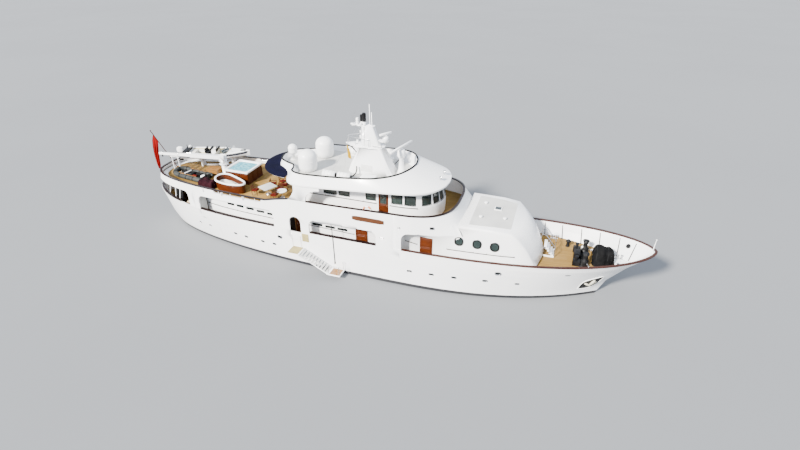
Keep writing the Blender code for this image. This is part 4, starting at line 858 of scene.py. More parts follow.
# %% [markdown]
# ## Rails, rubbing lines and the board for the name
# A black bead runs round the top deck's coaming. Handrails stand a hand's breadth off the house sides. The board
# beside the wheelhouse carries the ship's name on the real yacht, and stays bare here.

# %% Coaming bead and handrails
COAMING = [
    (-8.3, 0.0), (-7.95, -1.0), (-7.1, -1.55), (-6.4, -1.85), (-6.1, -2.4), (-5.95, -2.9), (-5.3, -3.25),
    (-4.0, -3.33), (0.0, -3.3), (1.6, -3.0), (2.7, -2.3), (3.35, -1.2), (3.6, 0.0),
]


def coaming_top(x):
    t = min(1.0, max(0.0, (x + 5.0) / 8.4))
    return 8.3 + 0.65 * t ** 1.4


coaming = [Vector((p.x, p.y, coaming_top(p.x) + 0.02)) for p in smooth_line([(*p, 0.0) for p in COAMING], 80)]
coaming[0].y = coaming[-1].y = 0.0
made_of("coaming_bead", "black_rubber", (bar, both_sides(coaming), 0.07, 8, True))


RAIL_OFF, RAIL_RADIUS = 0.09, 0.03


def handrail(mesh, node, x0, x1, z0, z1, side):
    """A straight rail along a wall, on short brackets."""
    line = []
    count = max(2, int(abs(x1 - x0) / 1.2) + 1)
    for k in range(count + 1):
        t = k / count
        spot, normal = on_side(node, x0 + (x1 - x0) * t, z0 + (z1 - z0) * t, side)
        line.append(spot + normal * RAIL_OFF)
        bar(mesh, [spot - normal * 0.02, line[-1]], RAIL_RADIUS * 0.7, 6)
    bar(mesh, line, RAIL_RADIUS)


rails = bmesh.new()
for side in (-1, 1):
    handrail(rails, "main_house", -15.2, -7.6, 3.72, 3.55, side)
    handrail(rails, "main_house", -4.9, -0.7, 3.58, 3.45, side)
    handrail(rails, "fore_house", 3.75, 4.7, 3.75, 3.6, side)
    handrail(rails, "fore_house", 7.1, 12.2, 3.66, 3.88, side)
    handrail(rails, "wheelhouse", -5.6, 1.1, 6.3, 6.3, side)
    handrail(rails, "wheelhouse", 2.25, 4.4, 6.3, 6.3, side)
new_piece("handrails", rails, "dark_rail")

board = bmesh.new()
for side in (-1, 1):
    rows = []
    for k in range(9):
        x = -0.36 + 2.64 * k / 8
        half = 0.19 * (0.7 if k in (0, 8) else 1.0)
        low, out = on_side("shell_" + WORD[side], x, 5.57 - half, side)
        high, _ = on_side("shell_" + WORD[side], x, 5.57 + half, side)
        rows.append([low - out * 0.01, low + out * 0.05, high + out * 0.05, high - out * 0.01])
    loft(board, rows)
new_piece("bare_name_boards", board, "name_board_varnish")

# %% [markdown]
# The edges of the side openings carry varnished capping. The strip is drawn dark and tall, so that it also holds the
# line of shade under the cap as painted shade. Each strip follows the top of the bulwark, and the round opening at
# the stern has one too.

# %% Capping in the openings
CAPPING = [(-15.35, -7.65), (-4.25, 1.55)]


def strip_row(outer, inner, low, high):
    """One section of a flat strip, between two places in plan and two heights."""
    return [Vector((*p.xy, z)) for p, z in ((outer, low), (outer, high), (inner, high), (inner, low))]


# The strip's dark colour and its height take in the line of shade under the cap: painted shade.
capping_and_shade_mesh = bmesh.new()
for side in (-1, 1):
    for aft, fore in CAPPING:
        rows = []
        count = max(4, int((fore - aft) / 0.35))
        for k in range(count + 1):
            x = aft + (fore - aft) * k / count
            spot, out = on_side("bulwark_" + WORD[side], x, sheer(x) - 0.06, side)
            out = Vector((out.x, out.y, 0.0)).normalized()
            rows.append(strip_row(spot + out * 0.06, spot - out * 0.17, sheer(x) + 0.006, sheer(x) + 0.11))
        loft(capping_and_shade_mesh, rows)
rows = []
for k in range(-14, 15):
    x, y = polar(90 * k / 14, 1.0)
    spot, _ = touch("bulwark_stern", (-18.0 - CLEAR * x * 0.97, -CLEAR * y, 3.22), (x * 0.97, y, 0.0))
    out = Vector((-x, -y, 0.0))
    rows.append(strip_row(spot + out * 0.06, spot - out * 0.17, sheer(spot.x) + 0.006, sheer(spot.x) + 0.1))
loft(capping_and_shade_mesh, rows)
new_piece("opening_capping_and_painted_shade", capping_and_shade_mesh, "dark_rail")

# The aft end of each side deck is closed by a bulkhead painted grey. The grey is painted shade for that shaded end.
painted_shade_ends = bmesh.new()
for side in (-1, 1):
    low = abs(on_side("bulwark_stern", -15.45, 2.9, side)[0].y) - 0.13
    high = abs(on_side("shell_" + WORD[side], -15.45, 4.9, side)[0].y) - 0.13
    rows = []
    for t in (0.0, 0.25, 0.5, 0.75, 1.0):
        x = -15.44 + 0.12 * t * t
        foot, head = side * (low + (2.75 - low) * t), side * (high + (2.75 - high) * t)
        rows.append([Vector(p) for p in ((x, foot, 2.62), (x, head, 4.96), (x - 0.05, head, 4.96),
                                         (x - 0.05, foot, 2.62))])
    loft(painted_shade_ends, rows)
new_piece("side_deck_ends_painted_shade", painted_shade_ends, "grey_deck_paint", smooth=60.0)
print("capping strips:", 2 * len(CAPPING) + 1)

# %% [markdown]
# The hull's upper plating is welded up from lengths, and the welds are ground flush and painted over. A thin strip
# over each joint stands for the filled weld.

# %% Filled welds
welds = bmesh.new()
for side in (-1, 1):
    word = WORD[side]
    for aft_node, fore_node, x, z0, z1 in (("bulwark_stern", "bulwark_" + word, -15.4, 2.75, sheer(-15.4) - 0.03),
                                           ("shell_stern", "shell_" + word, -15.9, sheer(-15.9) + 0.05, 5.66),
                                           ("shell_" + word, "portuguese_bridge", 3.0, 3.46, 6.3),
                                           ("bulwark_" + word, "bulwark_bow", 3.6, 2.75, 3.36)):
        rows = []
        for k in range(13):
            z = z0 + (z1 - z0) * k / 12
            hits = [from_side(node, x + dx, z, side)[0]
                    for node, dx in ((aft_node, -0.07), (aft_node, -0.012), (fore_node, 0.012), (fore_node, 0.07))]
            if all(hits) and max(abs(h.y - hits[0].y) for h in hits) < 0.05:
                out = Vector((0, side, 0))
                rows.append([hits[0] - out * 0.004, hits[1] + out * 0.004, hits[2] + out * 0.004,
                             hits[3] - out * 0.004, hits[2] - out * 0.02, hits[1] - out * 0.02])
            elif rows:
                break
        if len(rows) > 1:
            loft(welds, rows)
new_piece("filled_welds", welds, "white_paint", smooth=60.0)

# %% [markdown]
# ## Doors
# The doors are mahogany frames round a flat panel, with a bronze handle. The wheelhouse doors have glass in their
# upper half. All of it rides on the door's own body, so that it swings or slides with the leaf.

# %% Door furniture
DOORS = [
    # name, aft x, fore x, outer y, bottom z, top z, glazed
    ("wheelhouse_door", 1.27, 2.07, 2.42, 5.32, 7.24, True),
    ("saloon_door", -0.54, 0.5, 3.1216, 2.53, 4.43, False),
    ("fore_door", 4.93, 5.93, 3.1216, 2.56, 4.30, False),
]
for name, aft, fore, face, bottom, top, glazed in DOORS:
    for side in (-1, 1):
        body = "%s_%s" % (name, WORD[side])
        place = facing((0, side * face, 0), (0, side, 0))
        middle, width = -side * (aft + fore) / 2, fore - aft
        spans = [(bottom + 0.1, bottom + (top - bottom) * 0.46), (bottom + (top - bottom) * 0.52, top - 0.1)]
        made_of(body + "_mouldings", "varnished_mahogany",
                *((frame_ring, rounded(width - 0.24, high - low, 0.05, 3, (middle, (low + high) / 2)), 0.018, 0.004,
                   place) for low, high in spans), body=body)
        if glazed:
            low, high = spans[1]
            outline = rounded(width - 0.26, high - low - 0.02, 0.04, 3, (middle, (low + high) / 2))
            made_of(body + "_pane", "tinted_glass", (plate, outline, -0.004, 0.008, place), body=body)
        grip = place @ Vector((-side * (fore - 0.09 if glazed else aft + 0.09), (bottom + top) / 2 - 0.05, 0.0))
        out = Vector((0, side, 0))
        made_of(body + "_handle", "bronze", (bar, [grip, grip + out * 0.05, grip + out * 0.055 - up(0.12)], 0.012, 8),
                (spun, [(0.03, 0.0), (0.03, 0.008), (0.0, 0.01)], facing(grip, out), 12), body=body)
print("doors dressed:", 2 * len(DOORS))

# %% [markdown]
# ## The spa
# A square pool with cut corners stands in a mahogany cabinet. Its water lies a little below the rim and is the
# brightest colour on the after deck.

# %% Spa pool
SPA = (-12.9, 0.1)


def square_ring(half, radius, z):
    return [Vector((x, y, z)) for x, y in rounded(2 * half, 2 * half, radius, 4, SPA)]


tub = [square_ring(*row) for row in (
    # half width, corner radius, z
    (1.22, 0.06, 6.33), (1.24, 0.08, 6.39), (1.22, 0.1, 6.47), (1.10, 0.26, 6.49), (1.03, 0.3, 6.46),
    (0.98, 0.3, 6.36), (0.9, 0.3, 5.95), (1.0, 0.25, 5.9), (1.08, 0.2, 6.3))]
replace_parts(made_of("spa_rim_and_walls", "white_plastic", (loft, tub, True), smooth=50.0), "spa_tub")
made_of("spa_water", "pool_water", (plate, rounded(1.97, 1.97, 0.3, 5), 6.30, 6.395, at(*SPA, 0)))
panels = bmesh.new()
for k in range(4):
    turn = turned(*SPA, 0, 90 * k)
    for middle in (-0.74, 0.0, 0.74):
        frame_ring(panels, rounded(0.62, 0.82, 0.03, 2, (middle, 5.79)), 0.016, 0.003,
                   turn @ facing((0, -1.14, 0), (0, -1, 0)))
    block(panels, -1.15, 1.15, -1.165, -1.13, 5.26, 5.34, 0.008, turn)
new_piece("spa_panels", panels, "varnished_mahogany")
print("spa rim", [round(v, 2) for v in (SPA[0] - 1.22, SPA[0] + 1.22)])

# %% [markdown]
# ## Awning and flags
# The awning is canvas drawn tight from the coaming to the rail's posts, and the real one sags a little between its
# seams. The ensign and the small flag hang in folds. Each is one thin cloth, and its area is read from its mesh.

# %% Cloth helpers and awning
def close_sheet(mesh, grid, under, start=0):
    """Skins a grid of corners, and closes it with a second side where under() puts each corner.

    A face with four corners is split from its first one, so start says how the second side's faces are split.
    """
    for low, high in zip(grid, grid[1:]):
        for k in range(len(low) - 1):
            mesh.faces.new((low[k], low[k + 1], high[k + 1], high[k]))
    mesh.normal_update()
    area = sum(face.calc_area() for face in mesh.faces) * SCALE * SCALE
    bottom = {v: mesh.verts.new(under(v)) for row in grid for v in row}
    for face in mesh.faces[:]:
        corners = [bottom[v] for v in reversed(face.verts)]
        mesh.faces.new(corners[start:] + corners[:start])
    for line in (grid[0], grid[-1], [row[0] for row in grid], [row[-1] for row in grid]):
        for a, b in zip(line, line[1:]):
            mesh.faces.new((a, b, bottom[b], bottom[a]))
    return area


def cloth_piece(name, rows, finish, thick):
    """A thin closed cloth from rows of points, the same count in each row; gives the piece and its one-side area."""
    mesh = bmesh.new()
    grid = [[mesh.verts.new(p) for p in row] for row in rows]
    area = close_sheet(mesh, grid, lambda v: v.co - v.normal * thick)
    return new_piece(name, mesh, finish, smooth=60.0), area


def cloth_rows(down, across, spot):
    """Rows of points from a function of the parts, 0 to 1, of the way down and across."""
    return [[Vector(spot(i / down, k / across)) for k in range(across + 1)] for i in range(down + 1)]


AWNING_X, AWNING_ARC = -6.65, 184


def awning_spot(t, s):
    x, y = polar(88 + AWNING_ARC * s, 1.4 + (3.15 - 1.4) * t)
    sag = 0.035 * math.sin(math.pi * t) * (1 + math.cos(math.radians(AWNING_ARC * s * 6))) / 2
    return AWNING_X + x, y, 7.85 - 0.18 * t - sag


awning_piece, awning_area = cloth_piece("awning_cloth", cloth_rows(14, 64, awning_spot), "navy_canvas", 0.02)
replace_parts(awning_piece, "awning")
awning_frame = bmesh.new()
for k in range(9):
    ends = [(*polar(90 + 180 * k / 8, radius), z) for radius, z in ((1.6, 7.76), (3.08, 7.625))]
    bar(awning_frame, [(AWNING_X + x, y, z) for x, y, z in ends], 0.02, 6)
hoop = [polar(degrees, 3.1) for degrees in range(90, 271, 6)]
bar(awning_frame, [(AWNING_X + x, y, 7.64) for x, y in hoop], 0.022, 6)
new_piece("awning_frame", awning_frame, "stainless")

# %% [markdown]
# The ensign hangs from its staff in still air, so it falls in long folds that widen downward. The small yellow flag
# hangs on a halyard under the mast's platform.

# %% Flags
ENSIGN = [
    # z, aft edge x, fore edge x
    (8.36, -22.44, -22.42), (8.05, -22.62, -22.2), (7.7, -22.76, -22.0), (7.2, -22.86, -22.12), (6.7, -22.93, -22.26),
    (6.2, -22.96, -22.34), (5.7, -22.95, -22.42), (5.3, -22.93, -22.48), (5.05, -22.85, -22.6), (4.97, -22.74, -22.7),
]
ENSIGN_TOP = ENSIGN[0][0]
ensign_rows = []
for z, aft, fore in ENSIGN:
    row = []
    for t in (k / 28 for k in range(29)):
        fold = 0.07 * math.sin(t * 5.5 * math.pi) * min(1.0, (ENSIGN_TOP - z) / 1.2)
        row.append(Vector((aft + (fore - aft) * t, fold, z - 0.12 * math.sin(math.pi * t) * min(1.0, ENSIGN_TOP - z))))
    ensign_rows.append(row)
ensign_piece, ensign_area = cloth_piece("ensign_cloth", ensign_rows, "red_bunting", 0.012)
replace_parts(ensign_piece, "ensign")


def pennant_spot(t, s):
    wide = 0.08 + 0.22 * math.sin(math.pi * min(1.0, t * 1.3) / 2)
    fold = 0.035 * math.sin(s * 4 * math.pi) * min(1.0, t * 3 + 0.15)
    return -2.3 + wide * s + 0.06 * t, -0.12 + fold, 9.85 - 1.05 * t - 0.1 * s * t


pennant_piece, pennant_area = cloth_piece("yellow_flag", cloth_rows(9, 16, pennant_spot), "yellow_bunting", 0.008)
print("flags", round(ensign_area, 3), round(pennant_area, 3))

# %% [markdown]
# ## The launch
# A moulded launch rests in chocks, with a cream cockpit in two parts round a white console. Its hull is drawn
# section by section: keel, turn of the bilge, gunwale and the sole inside, all in the boat's own frame.

# %% Launch
LAUNCH = turned(-17.1, 1.9, 5.95, 18.0)
LENGTH, BEAM, DEPTH = 6.4, 2.2, 0.75


def launch_line(t):
    """Half breadth, gunwale and keel heights at a part t of the length from the stern."""
    half = max(BEAM / 2 * (1 - max(0.0, (t - 0.45) / 0.55) ** 2.2), 0.05)
    if t < 0.12:
        half *= 0.93 + 0.07 * t / 0.12
    rise = 0.12 * DEPTH * max(0.0, (t - 0.5) / 0.5) ** 2
    keel = DEPTH * 0.55 * max(0.0, (t - 0.55) / 0.45) ** 2
    return half, DEPTH + rise, keel


def launch_inside(t):
    """Height of the inside: stern deck, cockpit sole, console step, forward well and foredeck."""
    sill = launch_line(t)[1]
    for start, end, floor in ((0.10, 0.44, 0.34), (0.44, 0.50, 0.52), (0.50, 0.70, 0.38)):
        if start < t < end:
            return floor
    return sill + (0.035 if t >= 0.7 else -0.02)


rows = []
stations = sorted([k / 24 for k in range(25)] + [0.0995, 0.1005, 0.4395, 0.4405, 0.4995, 0.5005, 0.6995, 0.7005])
for t in stations:
    half, sill, keel = launch_line(t)
    inside = min(launch_inside(t), sill + 0.035)
    wall = min(0.24, half * 0.45)
    side = [(half * 0.35, keel + (0.35 * DEPTH - keel) * 0.4), (half * 0.72, 0.35 * DEPTH + sill - DEPTH),
            (half * 0.93, 0.52 * DEPTH + sill - DEPTH), (half, 0.76 * DEPTH + sill - DEPTH), (half, sill - 0.04),
            (half - 0.04, sill), (half - wall + 0.03, sill),
            (half - wall, sill - 0.02 if inside < sill else sill + 0.02), (half - wall - 0.02, inside)]
    ring = [(0.0, keel)] + [(-y, z) for y, z in side] + [(0.0, inside)] + [(y, z) for y, z in reversed(side)]
    rows.append([Vector((-LENGTH / 2 + LENGTH * t, y, z)) for y, z in ring])
hull_piece = new_piece("launch_hull", loft(bmesh.new(), rows), "white_plastic", smooth=35.0, place=LAUNCH)
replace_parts(hull_piece, "launch")

# The dark band on each side, from 0.2 m to 0.09 m under the gunwale, is painted shadow under the gunwale's rubbing
# strip.
gunwale_shadow, rub = bmesh.new(), bmesh.new()
for side in (-1, 1):
    rows, line = [], []
    for k in range(25):
        t = 0.01 + 0.975 * k / 24
        half, sill, _ = launch_line(t)
        x, inner, outer = -LENGTH / 2 + LENGTH * t, side * (half - 0.01), side * (half + 0.012)
        rows.append([Vector((x, y, sill - drop))
                     for y, drop in ((inner, 0.2), (outer, 0.2), (outer, 0.09), (inner, 0.09))])
        line.append((x, side * (half + 0.005), sill - 0.03))
    loft(gunwale_shadow, rows)
    bar(rub, line, 0.03, 8)
new_piece("launch_gunwale_painted_shadow", gunwale_shadow, "navy_canvas", place=LAUNCH)
new_piece("launch_rubbing_strip", rub, "tube_fabric", place=LAUNCH)


def liner(start, end, floor):
    """Cream lining of one well: its sole and its two sides, as one thin tray."""
    rows = []
    for k in range(9):
        t = start + (end - start) * k / 8
        half, sill, _ = launch_line(t)
        wide = half - min(0.24, half * 0.45) - 0.022
        rows.append([Vector((-LENGTH / 2 + LENGTH * t, y, z)) for y, z in (
            (-wide, sill - 0.03), (-wide, floor + 0.004), (wide, floor + 0.004), (wide, sill - 0.03),
            (wide - 0.03, sill - 0.03), (wide - 0.03, floor + 0.03), (-wide + 0.03, floor + 0.03),
            (-wide + 0.03, sill - 0.03))])
    return rows


made_of("launch_lining", "cream_gelcoat", (loft, liner(0.106, 0.434, 0.34)), (loft, liner(0.506, 0.694, 0.38)),
        place=LAUNCH)
made_of("launch_console_and_lockers", "white_plastic",
        (block, -0.36, 0.04, -0.42, 0.42, 0.53, 0.93, 0.05), (block, -0.02, 0.12, -0.5, 0.5, 0.70, 0.98, 0.05),
        (block, -2.2, -0.55, -0.79, -0.52, 0.375, 0.56, 0.03), (block, -2.2, -0.55, 0.52, 0.79, 0.375, 0.56, 0.03),
        (block, -2.45, -2.0, -0.7, 0.7, 0.375, 0.58, 0.03), place=LAUNCH)
LAUNCH_PADS = {
    "aft": (-2.43, -2.02, -0.66, 0.66, 0.585, 0.68), "stbd": (-1.95, -0.6, -0.78, -0.54, 0.565, 0.65),
    "port": (-1.95, -0.6, 0.54, 0.78, 0.565, 0.65), "helm": (-0.33, -0.03, -0.38, 0.38, 0.935, 1.01),
    "bow": (0.95, 1.2, -0.42, 0.42, 0.415, 0.56),
}
for name, size in LAUNCH_PADS.items():
    pad = made_of("launch_pad_" + name, "pale_canvas", (block, *size, 0.03), smooth=60.0, place=LAUNCH)
print("launch sections:", len(stations))

# %% [markdown]
# The screen, the rails, the wheel, the engine and the seat backs are drawn in the launch's own frame too, so that one
# placing sets them all down in the boat.

# %% Launch fittings
rows, top_line = [], []
for k in range(13):
    x, y = polar(-72 + 144 * k / 12, 1.0)
    out = Vector((x, y, 0)) * 0.014
    x, y = 0.75 + 0.42 * x, 0.78 * y
    foot, head = Vector((x, y, 0.76)), Vector((x - 0.17, y * 0.93, 1.08))
    rows.append([foot, head, head + out, foot + out])
    top_line.append(head + out / 2)
made_of("launch_windscreen", "tinted_glass", (loft, rows), place=LAUNCH)
made_of("launch_rails", "stainless", (bar, top_line, 0.014, 6),
        *((bar, [rows[k][0] - up(0.03), rows[k][1]], 0.012, 6) for k in (0, 3, 9, 12)),
        *((bar, [(0.9, side * 0.7, 0.79), (1.0, side * 0.68, 1.0), (1.64, side * 0.5, 1.05), (1.7, side * 0.48, 0.79)],
           0.014, 6) for side in (1, -1)),
        (bar, [(-2.6, -0.75, 0.73), (-2.6, -0.75, 0.84), (-1.9, -0.84, 0.84), (-1.9, -0.84, 0.74)], 0.014, 6),
        place=LAUNCH)
spot = facing((-0.01, 0.22, 1.0), (-0.8, 0, 0.5))
made_of("launch_wheel", "dark_gear", (frame_ring, [polar(a, 0.15) for a in range(0, 360, 24)], 0.014, 0.04, spot),
        (bar, [spot @ Vector((-0.15, 0, 0.04)), spot @ Vector((0.15, 0, 0.04))], 0.01, 6),
        (bar, [spot @ up(-0.03), spot @ up(0.045)], 0.02, 6), place=LAUNCH)


def outboard(name, place, size=1.0, cowl="dark_gear"):
    """An outboard engine tilted clear: cowl, leg, skeg and propeller."""
    made_of(name + "_cowl", cowl,
            (spun, [(0.0, 0.0), (0.13, 0.0), (0.17, 0.05), (0.18, 0.22), (0.15, 0.32), (0.07, 0.37), (0.0, 0.375)],
             Matrix.Identity(4), 14), place=place @ Matrix.Diagonal((size * 1.25, size * 0.9, size, 1.0)))
    made_of(name + "_leg", "dark_gear", (block, -0.06, 0.06, -0.04, 0.04, -0.5, 0.02, 0.015),
            (block, -0.16, 0.08, -0.035, 0.035, -0.56, -0.48, 0.02),
            (block, 0.05, 0.22, -0.09, 0.09, -0.16, -0.02, 0.015),
            *((block, -0.19, -0.165, -0.035, 0.035, 0.0, 0.11, 0.01, turned(0, 0, -0.52, 120 * k, "X"))
              for k in range(3)), place=place @ Matrix.Scale(size, 4))


outboard("launch_engine", LAUNCH @ at(-3.5, 0.0, 0.62), 1.5, "white_plastic")
made_of("launch_seat_backs_and_well", "dark_gear", (block, -3.05, -2.55, -0.72, 0.72, 0.745, 0.93, 0.05),
        (block, -0.5, -0.38, -0.44, 0.44, 0.5, 1.12, 0.03), (block, 0.1, 0.2, -0.52, 0.52, 0.86, 1.1, 0.03),
        *((block, -0.95, -0.6, y - 0.2, y + 0.2, 0.56, 0.8, 0.04) for y in (-0.24, 0.24)),
        *((block, -1.0, -0.9, y - 0.2, y + 0.2, 0.7, 1.1, 0.04) for y in (-0.24, 0.24)),
        (block, 2.35, 2.85, -0.16, 0.16, 0.8, 0.866, 0.015), (bar, [(-2.9, 0.3, 0.9), (-2.9, 0.3, 1.25)], 0.03, 8),
        place=LAUNCH)
made_of("launch_fender", "white_plastic",
        (spun, [(0.0, -0.17), (0.1, -0.14), (0.16, -0.06), (0.17, 0.0), (0.16, 0.06), (0.1, 0.14), (0.04, 0.18),
                (0.0, 0.185)], LAUNCH @ at(-2.75, 0.62, 0.92), 16))
print("launch pieces made")

# %% [markdown]
# ## The inflatable
# A grey inflatable lies beside the launch: two air tubes that meet in a raised bow, rigid floor boards, a transom
# with its engine, a fuel tank and a grab line's patches.

# %% Inflatable
RAFT = turned(-17.75, -1.25, 5.255, 172.0)
tube_line, tube_radii = [], []
for k in range(41):
    s = k / 40 * 2 - 1
    side = -1 if s < 0 else 1
    along = 1 - abs(s)
    if along < 0.72:
        x, y = -1.97 + 3.0 * along / 0.72, side * 0.66
    else:
        turn = math.radians(90 * (along - 0.72) / 0.28)
        x, y = 1.03 + 0.72 * math.sin(turn), side * 0.66 * math.cos(turn)
    lift = 0.13 * max(0.0, (x - 0.2) / 1.55) ** 2
    tube_line.append((x, y, 0.255 + lift))
    tube_radii.append(0.225 if 0.035 < along else 0.09 + 0.135 * along / 0.035)
tube_piece = new_piece("inflatable_tubes", bar(bmesh.new(), tube_line, tube_radii, 16), "tube_fabric",
                       smooth=50.0, place=RAFT)
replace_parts(tube_piece, "inflatable")
steps = [(Vector(tube_line[k]), Vector(tube_line[k + 1])) for k in range(3, 38, 4)]
made_of("inflatable_bands", "black_rubber",
        *((bar, [point, point + (after - point).normalized() * 0.12], 0.232, 16) for point, after in steps), place=RAFT)
made_of("inflatable_boards", "tube_fabric",
        *((block, -1.75 + 0.56 * k, -1.21 + 0.56 * k, -0.5, 0.5, 0.10, 0.135, 0.008) for k in range(5)),
        (block, -1.82, -1.75, -0.52, 0.52, 0.08, 0.5, 0.015), place=RAFT)
made_of("inflatable_tank_and_thwart", "white_plastic", (block, -1.5, -1.05, -0.38, -0.02, 0.14, 0.3, 0.05),
        (block, 0.42, 0.52, -0.44, 0.44, 0.36, 0.42, 0.015), place=RAFT)
coil = [polar(40 * k, 0.24) for k in range(10)]
made_of("inflatable_bags_and_line", "dark_gear", (block, -0.35, 0.35, -0.36, 0.3, 0.14, 0.42, 0.08),
        (block, -1.0, -0.5, -0.45, -0.05, 0.14, 0.4, 0.07), (block, 0.6, 1.15, -0.3, 0.3, 0.16, 0.38, 0.08),
        *((bar, [(-0.1 + x, y, 0.45) for x, y in pair], 0.03, 6) for pair in zip(coil, coil[1:])), place=RAFT)
made_of("inflatable_fuel_can", "red_cushion", (block, -0.75, -0.35, 0.05, 0.38, 0.14, 0.34, 0.05), place=RAFT)
outboard("inflatable_engine", RAFT @ at(-1.86, 0.0, 0.42), 0.62)
oars = bmesh.new()
for y in (-0.6, 0.6):
    bar(oars, [(-1.3, y, 0.5), (0.3, y, 0.5)], 0.018, 8)
    block(oars, 0.25, 0.7, y - 0.06, y + 0.06, 0.49, 0.51, 0.005)
new_piece("inflatable_oars", oars, "light_varnish", place=RAFT)
print("inflatable pieces made")

# %% [markdown]
# ## The crane
# The boats are lifted by a crane with a long boom, which lies over the after deck in a crutch, between the two boats.
# Its wire, hook and bands ride on the boom. The collars round its post stay where they are when the head turns.

# %% Crane details
CRANE = (-15.05, 0.15)
boom_low, boom_high = Vector((-21.33, -0.86, 7.0)), Vector((*CRANE, 7.0))
along = (boom_high - boom_low).normalized()
hook = boom_low + along * 0.25
made_of("boom_wire_and_hook", "dark_gear",
        (bar, [boom_low + along * 0.12 + up(0.13), boom_high - along * 0.4 + up(0.19)], 0.011, 6),
        (block, -0.05, 0.05, -0.03, 0.03, -0.34, -0.14, 0.01, at(*hook)),
        (bar, [hook - up(0.1), hook - up(0.3)], 0.012, 6), body="crane_boom")
made_of("boom_bands", "stainless",
        *((bar, [boom_low + along * reach, boom_low + along * (reach + 0.07)], 0.135 + 0.006 * reach, 16)
          for reach in (0.3, 1.9, 3.6, 5.2)), body="crane_boom")
made_of("boom_crutch", "white_paint", *((bar, [(dx, 0.05, 5.25), (dx, 0.0, 6.72)], 0.045, 8) for dx in (-0.35, 0.35)),
        (bar, [(-0.5, -0.02, 6.72), (0.5, 0.02, 6.72)], 0.04, 8),
        *((bar, [(0.0, dy * 0.3, 6.72), (0.0, dy, 6.78), (0.0, dy, 6.98)], 0.03, 8) for dy in (-0.26, 0.26)),
        place=at(-19.9, -0.62, 0.0))
made_of("crane_foot_and_collar", "white_paint",
        (spun, [(0.37, 6.36), (0.39, 6.36), (0.39, 6.42), (0.37, 6.42)], at(*CRANE, 0), 24),
        (spun, [(0.40, BRIDGE_DECK), (0.47, BRIDGE_DECK), (0.47, 5.3), (0.40, 5.32)], at(*CRANE, 0), 24))
print("boom", round((boom_high - boom_low).length, 2), "m long")

# %% [markdown]
# ## After deck
# The guests' deck has a long curved seat with a white rolled edge, a locker by the rail under a canvas cover, a teak
# box, and two tables with chairs.

# %% Seats and lockers
SEAT = [(-14.42, -1.7), (-14.3, -1.42), (-14.0, -1.22), (-13.3, -1.26), (-11.35, -2.1), (-11.1, -2.75), (-12.3, -3.05),
        (-13.7, -2.8), (-14.3, -2.25)]
seat_line = smooth_line([(*p, 0.0) for p in SEAT + SEAT[:1]], 49)[:-1]
seat_middle = Vector((-13.0, -2.1, 0.0))


def shrunk(line, part):
    return [seat_middle + (p - seat_middle) * part for p in line]


def level(line, z):
    return [Vector((p.x, p.y, z)) for p in line]


base = [level(shrunk(seat_line, part), z) for part, z in (
    (0.94, BRIDGE_DECK), (0.97, 6.05), (0.90, 6.05), (0.86, BRIDGE_DECK))]
made_of("curved_seat_base", "varnished_mahogany", (loft, base, True), smooth=40.0)
made_of("curved_seat_edge", "white_plastic", (bar, level(shrunk(seat_line, 0.965), 6.1), 0.08, 10, True), smooth=60.0)
made_of("curved_seat_floor", "grey_deck_paint",
        (plate, [p.xy for p in shrunk(seat_line, 0.88)], 5.26, 5.56, Matrix.Identity(4)))
seat_pad = made_of("curved_seat_cushion", "pale_canvas",
                   (plate, [p.xy for p in shrunk(seat_line, 0.55)], 5.565, 5.68, at(-0.42, 0.12, 0)), smooth=60.0)
made_of("deck_box", "light_varnish", (block, -16.8, -15.62, -0.35, 0.55, BRIDGE_DECK, 5.74, 0.02),
        (block, -16.83, -15.6, -0.38, 0.58, 5.75, 5.8, 0.015))


def cover_spot(t, s):
    """The maroon cover: lumps over what lies under it, and a wavy hem."""
    edge_near = min(1.0, 6 * min(s, 1 - s), 9 * min(t, 1 - t))
    lump = 0.5 + 0.055 * math.sin(7 * t + 1.3) + 0.045 * math.sin(13 * t + 5 * s) + 0.03 * math.sin(21 * s + 3 * t)
    hem = (0.025 * math.sin(40 * t + 2) + 0.02 * math.sin(33 * s)) * (1 - edge_near)
    return -15.95 + 1.75 * t, -2.72 - 0.32 * t + (1.15 - 0.1 * t) * s + hem, 5.275 + lump * edge_near ** 0.45


cover_piece, cover_area = cloth_piece("locker_cover", cloth_rows(30, 20, cover_spot), "maroon_canvas", 0.012)
print("locker cover area", round(cover_area, 2))

# %% [markdown]
# One chair is described once, with turned legs, a slatted back and a loose cushion, and set down at each place round
# the two tables.

# %% Table and chairs
TABLE, ROUND_TABLE = (-9.1, -2.02), (-7.62, -2.2)
made_of("table_top", "grey_deck_paint", (block, -0.55, 0.55, -0.62, 0.62, 5.92, 5.97, 0.02, turned(*TABLE, 0, -24)))
made_of("table_pedestals", "stainless",
        (spun, [(0.24, BRIDGE_DECK), (0.22, 5.29), (0.06, 5.34), (0.05, 5.84), (0.12, 5.915)], at(*TABLE, 0), 14),
        (spun, [(0.2, BRIDGE_DECK), (0.18, 5.29), (0.05, 5.33), (0.04, 5.8), (0.1, 5.84)], at(*ROUND_TABLE, 0), 14))
made_of("round_table_top", "white_plastic", (spun, [(0.0, 5.845), (0.4, 5.845), (0.42, 5.87), (0.4, 5.9), (0.0, 5.905)],
                                             at(*ROUND_TABLE, 0), 24), smooth=50.0)
CHAIRS = [
    # x, y, turn in degrees
    (-9.3, -0.85, 200), (-8.75, -0.15, 160), (-8.2, -0.75, 20), (-8.25, -1.55, 90), (-8.05, -2.75, 10),
    (-10.1, -2.45, 190),
]
frames_mesh = bmesh.new()
